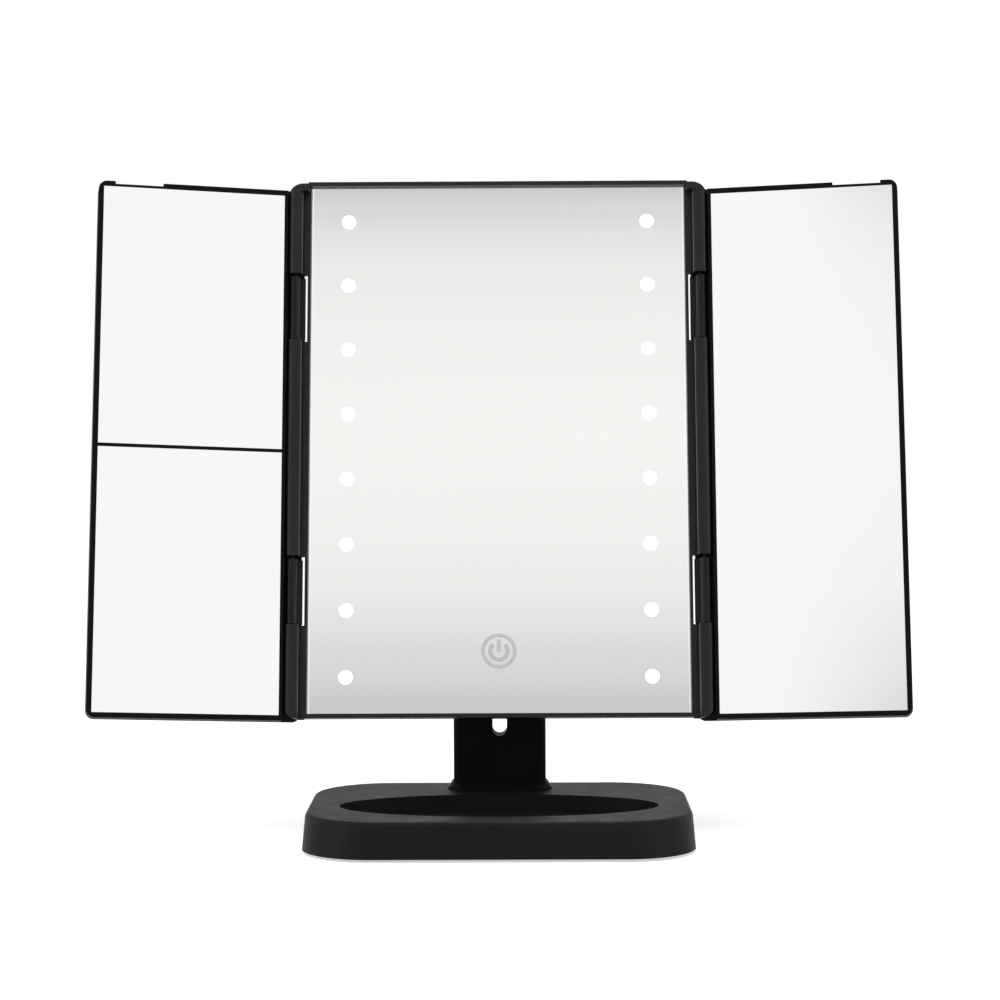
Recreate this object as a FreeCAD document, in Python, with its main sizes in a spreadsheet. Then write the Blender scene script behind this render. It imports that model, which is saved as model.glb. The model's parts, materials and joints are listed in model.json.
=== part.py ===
import FreeCAD, Part
import os
import re
from math import radians

import Sketcher
from FreeCAD import Placement, Rotation, Vector

# A lighted trifold vanity mirror on a low stand with a tray.
#
# World frame: millimetres, +Z up, +X to the right of someone facing the mirror, -Y towards them.
# The origin is on the table, at the centre of the base's footprint.
#
# The head (middle mirror) has a frame of its own, with its origin on the tilt axle:
# u to the right, n out of the mirror's face, v up along the mirror.
# n = 0 is the front of the middle glass and v = 0 the middle of its frame.
# Each wing has a frame on its hinge axis: r away from the hinge, e out of its own mirror, v as above.

SIZES = {
    "cut_past": (1.0, "a cutting tool runs past the face that it opens"),
    # Base
    "base_width": (157.6, "base, left to right, at its foot"),
    "base_depth": (112.0, "base, front to back, at its foot"),
    "base_height": (15.5, "table to the base's top"),
    "base_draft": (1.0, "how far each side leans in by the top"),
    "base_foot_radius": (28.5, "corner of the outline at the foot"),
    "base_top_radius": (31.5, "corner of the outline at the top"),
    "base_edge_round": (2.0, "rounding of the top edge"),
    "base_wall": (2.2, "thickness of the shell"),
    "pad_height": (1.0, "non-slip pad under the base"),
    "pad_inset": (9.0, "pad's edge inside the base's edge"),
    "plate_height": (2.4, "bottom plate"),
    "plate_gap": (0.2, "bottom plate to the shell, all round"),
    "weight_gap": (3.2, "weight's edge inside the bottom plate's edge"),
    "lid_gap": (0.3, "weight to the underside of the tray"),
    # Tray in the base
    "tray_length": (129.6, "oval tray, left to right"),
    "tray_breadth": (60.0, "oval tray, front to back"),
    "tray_depth": (7.0, "depth of the oval tray"),
    "tray_forward": (11.0, "tray's centre in front of the base's centre"),
    "tray_wall": (2.0, "wall and floor of the tray"),
    # Screws under the base
    "boss_inset_x": (22.0, "screw posts inside the base's left and right edges"),
    "boss_inset_y": (20.0, "screw posts inside the base's front and back edges"),
    "boss_radius": (3.5, "screw posts"),
    "boss_gap": (0.4, "weight's holes round the posts and the screw heads"),
    "screw_radius": (1.5, "base screws"),
    "screw_head_radius": (2.8, "heads of the base screws"),
    "screw_head_height": (1.4, "heads of the base screws"),
    "screw_grip": (8.0, "base screws above their heads"),
    # Neck
    "neck_width": (38.9, "neck, left to right"),
    "neck_depth": (12.0, "neck, front to back"),
    "neck_round": (3.0, "upright edges of the neck"),
    "neck_inset": (19.0, "neck's middle inside the base's back edge"),
    "slot_width": (6.1, "slot down the neck"),
    "slot_bottom": (38.5, "table to the slot's round bottom"),
    "collar_width": (44.0, "collar at the neck's foot, left to right"),
    "collar_depth": (18.0, "collar at the neck's foot, front to back"),
    "collar_height": (3.4, "collar"),
    "collar_edge": (0.8, "upright edge round the collar's foot"),
    "collar_lip": (0.6, "collar's wall at its top"),
    "collar_round": (8.8, "corners of the collar"),
    "foot_screw_x": (11.0, "screws up into the neck, sideways"),
    "foot_screw_radius": (2.0, "screws up into the neck"),
    "foot_screw_head": (3.6, "radius of their heads"),
    "foot_screw_head_height": (2.2, "their heads"),
    "foot_screw_depth": (11.0, "their length inside the neck"),
    # Tilt joint
    "axle_height": (62.7, "table to the tilt axle"),
    "axle_radius": (2.0, "tilt axle"),
    "axle_running_gap": (0.06, "bracket's bore round the axle"),
    "axle_sink": (3.4, "depth of the holes for the axle's head and nut"),
    "axle_head_radius": (3.5, "axle's head and nut"),
    "axle_head_height": (2.4, "axle's head and nut"),
    "cap_height": (0.8, "caps over the axle's ends"),
    "washer_height": (0.7, "friction washers"),
    "washer_radius": (5.0, "friction washers"),
    "tongue_gap": (0.05, "bracket's tongue to each washer"),
    "tongue_radius": (5.8, "round end of the bracket's tongue"),
    "bracket_width": (34.0, "bracket's plate, left to right"),
    "bracket_half_height": (12.0, "bracket's plate above and below the axle"),
    "bracket_plate": (2.6, "thickness of the bracket's plate"),
    "bracket_screw_x": (12.0, "bracket's screws, sideways"),
    "bracket_screw_v": (7.5, "bracket's screws above and below the axle"),
    "bracket_screw_radius": (1.25, "bracket's screws"),
    "bracket_screw_head": (2.4, "radius of their heads"),
    "bracket_screw_sink": (1.5, "their heads sink this far"),
    "bracket_screw_length": (6.0, "their length under the head"),
    "tilt": (12.5, "how far the head leans back from upright, degrees"),
    "axle_back": (24.5, "axle behind the front of the middle glass"),
    "axle_drop": (95.0, "axle below the middle of the head"),
    # Middle frame and its rails
    "rail_u": (85.9, "hinge axes from the middle"),
    "rail_n": (5.2, "hinge axes in front of the middle glass"),
    "rail_radius": (3.2, "outer side of the rails from the hinge axis"),
    "rail_rise": (2.2, "flat front of the rails in front of the hinge axis"),
    "rail_height": (228.2, "rails"),
    "rail_corner": (6.5, "outer corners of the rails, seen from the front"),
    "rail_foot": (1.1, "back of the rails' webs behind the outer side's radius"),
    "rail_web": (2.5, "inner side of the rails' webs from the hinge axis"),
    "rail_bite": (0.5, "webs' flange into the frame's side wall"),
    "bridge_gap": (0.4, "closed wings below the bridges from the rails' tops to the frame"),
    "hinge_shift": (1.4, "middle of the rails and hinges below the head's middle"),
    "frame_height": (229.6, "middle frame"),
    "frame_side": (80.8, "frame's side walls, their outer faces from the middle"),
    "frame_lip": (2.2, "lip in front of the glass"),
    "frame_back": (3.6, "frame's back edge behind the glass front"),
    "view_width": (159.2, "opening in the lip"),
    "view_height": (226.0, "opening in the lip"),
    "glass_width": (160.0, "middle glass"),
    "glass_height": (227.4, "middle glass"),
    "glass_thick": (3.0, "middle glass"),
    "glass_gap": (0.2, "glass to the frame's walls"),
    "glass_corner": (1.0, "corners of the middle glass"),
    # Hinges of the wings
    "window_v": (60.5, "hinge windows above and below the middle of the rails"),
    "window_height": (28.8, "hinge windows"),
    "knuckle_radius": (2.2, "hinge knuckles"),
    "knuckle_end_gap": (0.3, "knuckle above the lower end of its window"),
    "knuckle_top_gap": (1.6, "knuckle below the upper end of its window"),
    "pin_radius": (1.0, "hinge pins"),
    "pin_running_gap": (0.06, "knuckle's bore round the pin"),
    "pin_length": (208.0, "hinge pins"),
    # Lights
    "light_u": (63.55, "columns of lights from the middle"),
    "light_pitch": (27.9, "one light to the next"),
    "light_shift": (-0.1, "middle of each column above the head's middle"),
    "light_count": (8, "lights in each column"),
    "led_size": (5.0, "one light chip"),
    "led_height": (0.8, "one light chip"),
    "diffuser_width": (10.0, "strip that spreads the light"),
    "diffuser_thick": (0.8, "strip that spreads the light"),
    "led_board_width": (11.0, "board under the lights"),
    "led_board_thick": (0.8, "board under the lights"),
    "led_board_over": (6.0, "board past the last light"),
    # Behind the glass
    "foam_width": (108.0, "foam behind the glass"),
    "foam_height": (214.0, "foam behind the glass"),
    "carrier_thick": (1.5, "carrier plate behind the lights"),
    "carrier_rim": (2.0, "rim of the carrier plate"),
    "touch_v": (-86.5, "touch key's centre from the head's middle"),
    "touch_radius": (4.0, "touch key's spring"),
    "touch_spring_wall": (1.0, "touch key's spring"),
    "touch_gap": (1.0, "clear ring round the touch key's spring"),
    "control_left": (14.0, "control board left of the middle"),
    "control_right": (54.0, "control board right of the middle"),
    "control_low": (106.0, "control board's lower edge below the middle"),
    "control_high": (73.0, "control board's upper edge below the middle"),
    "control_thick": (1.6, "control board"),
    "chip_u": (27.0, "control board's chip right of the middle"),
    "chip_size": (10.0, "control board's chip"),
    "chip_height": (1.6, "control board's chip"),
    # Rear housing
    "housing_back": (15.5, "back of the housing behind the glass front"),
    "housing_inset": (1.4, "housing's front edge inside the frame's edge"),
    "housing_draft_side": (8.0, "how far its sides lean in"),
    "housing_draft_end": (7.0, "how far its ends lean in"),
    "housing_wall": (1.8, "housing"),
    "housing_corner": (7.0, "corners of the housing"),
    "well_u": (66.0, "screw wells from the middle"),
    "well_v": (97.0, "upper and lower screw wells from the middle"),
    "well_radius": (3.0, "screw wells"),
    "well_wall": (1.2, "wall and floor of the screw wells"),
    "well_depth": (4.0, "screw wells"),
    "housing_screw_radius": (1.25, "housing's screws"),
    "housing_screw_head": (2.6, "radius of their heads"),
    "housing_screw_head_height": (1.5, "their heads"),
    "post_radius": (3.2, "carrier's posts for these screws"),
    # Batteries
    "cell_radius": (5.25, "AAA cell"),
    "cell_length": (44.5, "AAA cell"),
    "cell_pitch": (11.0, "one cell to the next"),
    "cell_count": (4, "cells side by side"),
    "cell_rest": (0.2, "cells above the floor of their tray"),
    "contact_length": (1.75, "contact at each end of a cell"),
    "contact_radius": (3.0, "contact at each end of a cell"),
    "bay_v": (-10.0, "middle of the battery bay from the head's middle"),
    "bay_end_gap": (0.4, "cells to the tray's long walls"),
    "bay_wall": (1.2, "walls and floor of the battery tray"),
    "bay_gap": (0.3, "battery tray to the housing"),
    "bay_rim": (2.4, "wall round the battery bay"),
    "door_thick": (2.0, "battery door"),
    "door_gap": (0.3, "battery door to the walls beside it"),
    "door_tongue": (1.0, "door's tongues, in depth and in width"),
    "door_clear": (0.2, "tongues in their grooves"),
    "door_rib_height": (0.6, "ribs on the door"),
    "door_rib_width": (2.0, "each rib, and each gap between ribs"),
    "door_rib_length": (22.0, "ribs on the door"),
    "door_rib_end": (6.0, "ribs from the door's upper edge"),
    "door_rib_count": (3, "ribs on the door"),
    # Slide switch and charging socket
    "switch_u": (-50.0, "slide switch from the middle"),
    "switch_v": (-82.0, "slide switch from the head's middle"),
    "switch_travel": (3.6, "slide switch"),
    "slider_length": (4.4, "switch's slider along its travel"),
    "slider_width": (3.4, "switch's slider across its travel"),
    "slider_proud": (1.4, "slider stands out of the housing"),
    "slider_gap": (0.3, "slider to its slot"),
    "switch_body_length": (12.0, "switch inside the housing"),
    "switch_body_width": (6.4, "switch inside the housing"),
    "switch_body_height": (4.0, "switch inside the housing"),
    "socket_u": (44.0, "charging socket from the middle"),
    "socket_mouth": (110.0, "charging socket's mouth below the middle"),
    "socket_width": (9.0, "charging socket"),
    "socket_height": (3.3, "charging socket"),
    "socket_depth": (7.5, "charging socket"),
    "socket_wall": (0.4, "charging socket"),
    "socket_gap": (0.4, "housing to the charging socket"),
    "socket_tongue_inset": (1.2, "each side of the socket's tongue inside its shell"),
    # Wings
    "wing_open_left": (12.0, "left wing folded forward of flat, degrees"),
    "wing_open_right": (9.0, "right wing folded forward of flat, degrees"),
    "wing_inner": (3.6, "wing frame's inner side from the hinge axis"),
    "wing_outer": (83.3, "wing's outer edge from the hinge axis"),
    "wing_front": (2.2, "wing's rim in front of the hinge axis"),
    "wing_flange_front": (4.8, "wing's flange behind the hinge axis"),
    "wing_back_thick": (1.6, "wing's back with its flange"),
    "wing_flange_end": (4.8, "flange past the hinge axis, towards the middle"),
    "wing_height": (225.6, "wing"),
    "wing_shift": (3.5, "wing's middle below the head's middle"),
    "wing_corner": (3.5, "corners of the wing"),
    "pocket_corner": (0.4, "corners of the pocket for the wing's mirror"),
    "wing_rim": (2.0, "rim round the wing's mirror"),
    "wing_hinge_rim": (1.2, "the same rim on the hinge side"),
    "wing_mirror_gap": (0.2, "wing mirror to its rim"),
    "wing_mirror_thick": (2.0, "wing mirrors"),
    "wing_mirror_sink": (0.5, "wing mirrors below their rim"),
    "wing_tape": (0.5, "tape behind the wing mirrors"),
    "wing_floor": (1.2, "wing frame's floor"),
    "divider_height": (1.4, "bar between the left wing's mirrors"),
    "web_width": (4.0, "web from the flange to a knuckle"),
    "foot_front": (1.2, "front of the knuckles' feet behind the hinge axis"),
    "ear_reach": (2.0, "flange's ear past the hinge axis, towards the middle"),
    "ear_outer": (6.0, "outer side of this ear from the hinge axis"),
    "ear_height": (1.9, "this ear above the wing's top"),
    "notch_length": (20.0, "finger notch in the wing's top edge"),
    "notch_depth": (1.2, "finger notch in the wing's top edge"),
    "notch_outer": (7.0, "finger notch from the wing's outer edge"),
}

doc = FreeCAD.newDocument("TrifoldVanityMirror")
sheet = doc.addObject("Spreadsheet::Sheet", "Sizes")
for row, (size_name, (size_value, size_note)) in enumerate(SIZES.items(), start=1):
    sheet.set(f"A{row}", size_name)
    sheet.set(f"B{row}", str(size_value))
    sheet.set(f"C{row}", size_note)
    sheet.setAlias(f"B{row}", size_name)
doc.recompute()

nodes = {}


def cell(name):
    """The sheet's value for one size."""
    return float(sheet.get(name))


def bind(obj, prop, text):
    """Ties a property to an expression written with the sheet's aliases."""
    aliased = re.sub(r"[a-z_]+", lambda word: f"Sizes.{word[0]}" if word[0] in SIZES else word[0], text)
    obj.setExpression(prop, aliased)


def add(kind, label):
    """A new document object; spaces keep a helper's label apart from the node names."""
    obj = doc.addObject(kind, label.replace(" ", "_"))
    obj.Label = label
    return obj


def place_at(obj, x, y, z):
    """Ties an object's position to three expressions."""
    for axis, text in (("x", x), ("y", y), ("z", z)):
        bind(obj, f".Placement.Base.{axis}", text)


def block(label, x, y, z):
    """A box over the three spans, each a pair of expressions."""
    box = add("Part::Box", label)
    for prop, (low, high) in (("Length", x), ("Width", y), ("Height", z)):
        bind(box, prop, f"({high}) - ({low})")
    place_at(box, x[0], y[0], z[0])
    return box


TURN = {"x": Rotation(Vector(0, 1, 0), 90), "y": Rotation(Vector(1, 0, 0), -90), "z": Rotation()}


def rod(label, axis, radius, start, length):
    """A cylinder from a start point (three expressions) along +x, +y or +z."""
    cylinder = add("Part::Cylinder", label)
    bind(cylinder, "Radius", radius)
    bind(cylinder, "Height", length)
    cylinder.Placement = Placement(Vector(), TURN[axis])
    place_at(cylinder, *start)
    return cylinder


def fuse(label, *shapes):
    if len(shapes) == 2:
        joined = add("Part::Fuse", label)
        joined.Base, joined.Tool = shapes
    else:
        joined = add("Part::MultiFuse", label)
        joined.Shapes = list(shapes)
    joined.Refine = True
    return joined


def cut(label, base, *tools):
    taken = add("Part::Cut", label)
    taken.Base = base
    taken.Tool = tools[0] if len(tools) == 1 else fuse(label + " tools", *tools)
    taken.Refine = True
    return taken


def common(label, base, tool):
    shared = add("Part::Common", label)
    shared.Base = base
    shared.Tool = tool
    shared.Refine = True
    return shared


def group(label, *shapes):
    """Separate solids that make one node, such as a set of equal screws."""
    gathered = add("Part::Compound", label)
    gathered.Links = list(shapes)
    return gathered


def rounded_sketch(body, label, plane, width, height, radius, offset, centre):
    """A rounded rectangle about a centre, on one of the body's planes, offset along its normal."""
    sketch = body.newObject("Sketcher::SketchObject", label.replace(" ", "_"))
    origin_plane = [f for f in body.Origin.OriginFeatures if f.Role == plane + "_Plane"][0]
    sketch.AttachmentSupport = (origin_plane, [""])
    sketch.MapMode = "FlatFace"
    for axis, text in (("x", centre[0]), ("y", centre[1]), ("z", offset)):
        bind(sketch, f".AttachmentOffset.Base.{axis}", text)
    half_w, half_h, r = 30.0, 20.0, 5.0
    corners = ((1, 1), (-1, 1), (-1, -1), (1, -1))
    quarter = radians(90)
    for turn, (sx, sy) in enumerate(corners):
        middle = Vector(sx * (half_w - r), sy * (half_h - r), 0)
        circle = Part.Circle(middle, Vector(0, 0, 1), r)
        sketch.addGeometry(Part.ArcOfCircle(circle, turn * quarter, (turn + 1) * quarter))
    ends = (
        ((half_w - r, half_h), (r - half_w, half_h)),
        ((-half_w, half_h - r), (-half_w, r - half_h)),
        ((r - half_w, -half_h), (half_w - r, -half_h)),
        ((half_w, r - half_h), (half_w, half_h - r)),
    )
    for a, b in ends:
        sketch.addGeometry(Part.LineSegment(Vector(*a, 0), Vector(*b, 0)))
    rules = []
    for turn in range(4):
        rules.append(Sketcher.Constraint("Tangent", turn, 2, turn + 4, 1))
        rules.append(Sketcher.Constraint("Tangent", turn + 4, 2, (turn + 1) % 4, 1))
        if turn:
            rules.append(Sketcher.Constraint("Equal", 0, turn))
    for line in (4, 6):
        rules.append(Sketcher.Constraint("Horizontal", line))
        rules.append(Sketcher.Constraint("Vertical", line + 1))
    rules.append(Sketcher.Constraint("Symmetric", 0, 3, 2, 3, -1, 1))
    sketch.addConstraint(rules)
    for name, rule, text in (
        ("width", Sketcher.Constraint("DistanceX", 5, 1, 7, 1, 2 * half_w), width),
        ("height", Sketcher.Constraint("DistanceY", 6, 1, 4, 1, 2 * half_h), height),
        ("corner", Sketcher.Constraint("Radius", 0, r), radius),
    ):
        number = sketch.addConstraint(rule)
        sketch.renameConstraint(number, name)
        bind(sketch, f"Constraints.{name}", text)
    return sketch


def plate(label, plane, width, height, radius, offset, thick, centre=("0", "0")):
    """A rounded plate: a PartDesign body with one padded sketch."""
    body = add("PartDesign::Body", label)
    outline = rounded_sketch(body, label + " outline", plane, width, height, radius, offset, centre)
    pad = body.newObject("PartDesign::Pad", label.replace(" ", "_") + "_pad")
    pad.Profile = outline
    bind(pad, "Length", thick)
    outline.Visibility = False
    return body


def loft(label, plane, *outlines, centre=("0", "0")):
    """A body through rounded outlines, each (width, height, radius, offset)."""
    body = add("PartDesign::Body", label)
    sections = []
    for number, (width, height, radius, offset) in enumerate(outlines, start=1):
        name = f"{label} outline {number}"
        sections.append(rounded_sketch(body, name, plane, width, height, radius, offset, centre))
    skin = body.newObject("PartDesign::AdditiveLoft", label.replace(" ", "_") + "_loft")
    skin.Profile = sections[0]
    skin.Sections = sections[1:]
    skin.Ruled = True
    return body


def oval(label, length, breadth, offset, thick, y, x="0"):
    """An oval prism standing on a level plane."""
    ring = add("Part::Ellipse", label + " ring")
    bind(ring, "MajorRadius", f"({length}) / 2")
    bind(ring, "MinorRadius", f"({breadth}) / 2")
    place_at(ring, x, y, offset)
    prism = add("Part::Extrusion", label)
    prism.Base = ring
    prism.DirMode = "Custom"
    prism.Dir = Vector(0, 0, 1)
    bind(prism, "LengthFwd", thick)
    prism.Solid = True
    return prism


def keep(obj, place=None):
    """Notes an object as a node of the part; its label is the node's name."""
    if place is not None:
        obj.Placement = place
    nodes[obj.Label] = obj
    return obj


# ---------------------------------------------------------------------------------------------
# Base


ROUND_STEPS = 5
BOSS_X = "(base_width / 2 - boss_inset_x)"
BOSS_Y = "(base_depth / 2 - boss_inset_y)"
NECK_Y = "(base_depth / 2 - neck_inset)"


def base_outlines(foot):
    """The base's outline at the foot, then up round its top edge."""
    outlines = [("base_width", "base_depth", "base_foot_radius", foot)]
    for step in range(ROUND_STEPS + 1):
        angle = 90 * step / ROUND_STEPS
        inset = f"(base_draft + base_edge_round * (1 - cos({angle} deg)))"
        outlines.append(
            (
                f"base_width - 2 * {inset}",
                f"base_depth - 2 * {inset}",
                f"base_top_radius + base_draft - {inset}",
                f"base_height - base_edge_round * (1 - sin({angle} deg))",
            )
        )
    return outlines


def make_base():
    foot = "pad_height"
    outer = loft("base outer", "XY", *base_outlines(foot))
    tray_y = "-tray_forward"
    tray_floor = "base_height - tray_depth"
    cavity = loft(
        "base cavity",
        "XY",
        ("base_width - 2 * base_wall", "base_depth - 2 * base_wall", "base_foot_radius - base_wall", foot),
        (
            "base_width - 2 * base_draft - 2 * base_wall",
            "base_depth - 2 * base_draft - 2 * base_wall",
            "base_top_radius - base_wall",
            "base_height - base_wall",
        ),
    )
    tub = oval(
        "tray tub",
        "tray_length + 2 * tray_wall",
        "tray_breadth + 2 * tray_wall",
        f"{tray_floor} - tray_wall",
        "tray_depth",
        tray_y,
    )
    recess = oval("tray recess", "tray_length", "tray_breadth", tray_floor, "tray_depth + cut_past", tray_y)
    posts = []
    holes = []
    screws = []
    seat = "pad_height + screw_head_height"
    top_room = "base_height - base_wall / 2"
    bottom = "pad_height + plate_height"
    boss_places = [(f"{sx}{BOSS_X}", f"{sy}{BOSS_Y}") for sy in ("-", "") for sx in ("-", "")]
    for number, (x, y) in enumerate(boss_places, start=1):
        posts.append(
            rod(f"base post {number}", "z", "boss_radius", (x, y, bottom), f"{top_room} - ({bottom})")
        )
        holes.append(rod(f"weight hole {number}", "z", "boss_radius + boss_gap", (x, y, "0"), "base_height"))
        shank = rod(f"base screw shank {number}", "z", "screw_radius", (x, y, seat), "screw_grip")
        head = rod(
            f"base screw head {number}", "z", "screw_head_radius", (x, y, "pad_height"), "screw_head_height"
        )
        screws.append(fuse(f"base screw {number}", head, shank))
    lug_low = f"{tray_floor} - tray_wall"
    lug = block(
        "neck lug",
        ("-neck_width / 2", "neck_width / 2"),
        (f"{NECK_Y} - neck_depth / 2", f"{NECK_Y} + neck_depth / 2"),
        (lug_low, top_room),
    )
    foot_screws = []
    foot_holes = []
    for number, x in enumerate(("-foot_screw_x", "foot_screw_x"), start=1):
        head_low = f"{lug_low} - foot_screw_head_height"
        head = rod(
            f"foot screw head {number}",
            "z",
            "foot_screw_head",
            (x, NECK_Y, head_low),
            "foot_screw_head_height",
        )
        shank = rod(
            f"foot screw shank {number}",
            "z",
            "foot_screw_radius",
            (x, NECK_Y, lug_low),
            f"base_height - ({lug_low}) + foot_screw_depth",
        )
        foot_screws.append(fuse(f"foot screw {number}", head, shank))
        foot_holes.append(
            rod(
                f"foot screw room {number}",
                "z",
                "foot_screw_head + boss_gap",
                (x, NECK_Y, "0"),
                lug_low,
            )
        )
    screw_set = group("base_screws", *screws)
    foot_set = group("neck_base_screws", *foot_screws)
    hollow = cut("base hollow", outer, cavity)
    with_tub = fuse("base with tub", hollow, tub)
    filled = fuse("base with posts", with_tub, group("base posts", lug, *posts))
    keep(cut("base_top_shell", filled, recess, screw_set, foot_set))
    bottom = plate(
        "base bottom blank",
        "XY",
        "base_width - 2 * base_draft - 2 * base_wall - 2 * plate_gap",
        "base_depth - 2 * base_draft - 2 * base_wall - 2 * plate_gap",
        "base_foot_radius - base_wall - plate_gap",
        foot,
        "plate_height",
    )
    keep(cut("base_bottom_plate", bottom, screw_set))
    weight_low = "pad_height + plate_height"
    inset = "(base_draft + base_wall + plate_gap + weight_gap)"
    weight = plate(
        "base weight blank",
        "XY",
        f"base_width - 2 * {inset}",
        f"base_depth - 2 * {inset}",
        f"base_foot_radius - {inset} + base_draft",
        weight_low,
        f"{tray_floor} - tray_wall - lid_gap - ({weight_low})",
    )
    keep(cut("base_weight", weight, *holes, *foot_holes))
    keep(
        plate(
            "base_pad",
            "XY",
            "base_width - 2 * pad_inset",
            "base_depth - 2 * pad_inset",
            "base_foot_radius - pad_inset",
            "0",
            "pad_height",
        )
    )
    keep(screw_set)
    keep(foot_set)
    return foot_set


# ---------------------------------------------------------------------------------------------
# Neck and tilt joint, whose axle is held by the neck


def make_neck(foot_set):
    half_w = "neck_width / 2"
    column = plate(
        "neck column",
        "XY",
        "neck_width",
        "neck_depth",
        "neck_round",
        "base_height",
        "axle_height + neck_depth / 2 - base_height",
        ("0", NECK_Y),
    )
    profile = fuse(
        "neck side view",
        block(
            "neck lower",
            (f"-{half_w}", half_w),
            (f"{NECK_Y} - neck_depth / 2", f"{NECK_Y} + neck_depth / 2"),
            ("base_height", "axle_height"),
        ),
        rod("neck top", "x", "neck_depth / 2", (f"-{half_w}", NECK_Y, "axle_height"), "neck_width"),
    )
    front = f"{NECK_Y} - neck_depth"
    through = "2 * neck_depth"
    slot = fuse(
        "neck slot",
        rod("slot round", "y", "slot_width / 2", ("0", front, "slot_bottom + slot_width / 2"), through),
        block(
            "slot straight",
            ("-slot_width / 2", "slot_width / 2"),
            (front, f"{NECK_Y} + neck_depth"),
            ("slot_bottom + slot_width / 2", "axle_height + neck_depth"),
        ),
    )
    seat = f"{half_w} - axle_sink"
    on_axle = (NECK_Y, "axle_height")
    bore = rod("axle bore", "x", "axle_radius", (f"-({seat})", *on_axle), f"2 * ({seat})")
    sinks = [
        rod("axle sink left", "x", "axle_head_radius", (f"-{half_w}", *on_axle), "axle_sink"),
        rod("axle sink right", "x", "axle_head_radius", (seat, *on_axle), "axle_sink"),
    ]
    blank = common("neck blank", column, profile)
    keep(cut("neck_post", blank, slot, bore, foot_set, *sinks))

    shank_length = f"2 * ({seat}) + axle_head_height"
    shank = rod("axle shank", "x", "axle_radius", (f"-({seat})", *on_axle), shank_length)
    head_start = (f"-({seat}) - axle_head_height", *on_axle)
    head = rod("axle head", "x", "axle_head_radius", head_start, "axle_head_height")
    axle = keep(fuse("tilt_axle", shank, head))
    nut = add("Part::Prism", "nut blank")
    nut.Polygon = 6
    bind(nut, "Circumradius", "axle_head_radius")
    bind(nut, "Height", "axle_head_height")
    nut.Placement = Placement(Vector(), TURN["x"])
    place_at(nut, seat, *on_axle)
    keep(cut("axle_nut", nut, axle))
    caps = [
        rod("cap left", "x", "axle_head_radius", (f"-{half_w}", *on_axle), "cap_height"),
        rod("cap right", "x", "axle_head_radius", (f"{half_w} - cap_height", *on_axle), "cap_height"),
    ]
    keep(group("axle_caps", *caps))
    washers = []
    for number, x in enumerate(("-slot_width / 2", "slot_width / 2 - washer_height"), start=1):
        disc = rod(f"washer disc {number}", "x", "washer_radius", (x, *on_axle), "washer_height")
        hole = rod(f"washer hole {number}", "x", "axle_radius", (x, *on_axle), "washer_height")
        washers.append(cut(f"washer {number}", disc, hole))
    keep(group("friction_washers", *washers))

    skirt = loft(
        "collar skirt",
        "XY",
        ("collar_width", "collar_depth", "collar_round", "base_height"),
        ("collar_width", "collar_depth", "collar_round", "base_height + collar_edge"),
        (
            "neck_width + 2 * collar_lip",
            "neck_depth + 2 * collar_lip",
            "neck_round + collar_lip",
            "base_height + collar_height",
        ),
        centre=("0", NECK_Y),
    )
    keep(cut("neck_collar", skirt, column))


# ---------------------------------------------------------------------------------------------
# Head: helpers in (u, n, v)


def head_y(n):
    return f"-axle_back - ({n})"


def head_z(v):
    return f"axle_drop + ({v})"


def head_block(label, u, n, v):
    return block(label, u, (head_y(n[1]), head_y(n[0])), (head_z(v[0]), head_z(v[1])))


def head_plate(label, width, height, radius, n, v="0"):
    """A rounded plate across the head, over the span n."""
    offset = f"axle_back + ({n[0]})"
    centre = ("0", head_z(v))
    return plate(label, "XZ", width, height, radius, offset, f"({n[1]}) - ({n[0]})", centre)


def head_rod(label, radius, u, v, n):
    """A cylinder along n."""
    return rod(label, "y", radius, (u, head_y(n[1]), head_z(v)), f"({n[1]}) - ({n[0]})")


def upright(label, radius, u, n, v):
    """A cylinder along v."""
    return rod(label, "z", radius, (u, head_y(n), head_z(v[0])), f"({v[1]}) - ({v[0]})")


HEAD_PLACE = Placement(
    Vector(0, cell("base_depth") / 2 - cell("neck_inset"), cell("axle_height")),
    Rotation(Vector(1, 0, 0), -cell("tilt")),
)
SIDES = (("left", -1), ("right", 1))
WINDOWS = (("lower", "-hinge_shift - window_v"), ("upper", "-hinge_shift + window_v"))

CHIPS_BACK = "-glass_thick - diffuser_thick - led_height"
BOARD_BACK = f"{CHIPS_BACK} - led_board_thick"
CARRIER_BACK = f"{BOARD_BACK} - carrier_thick"
GLASS_POCKET = ("glass_width + 2 * glass_gap", "glass_height + 2 * glass_gap")


def span_on(side, low, high):
    """A span measured outwards from the middle, on one side of it."""
    return (low, high) if side > 0 else (f"-({high})", f"-({low})")


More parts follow.
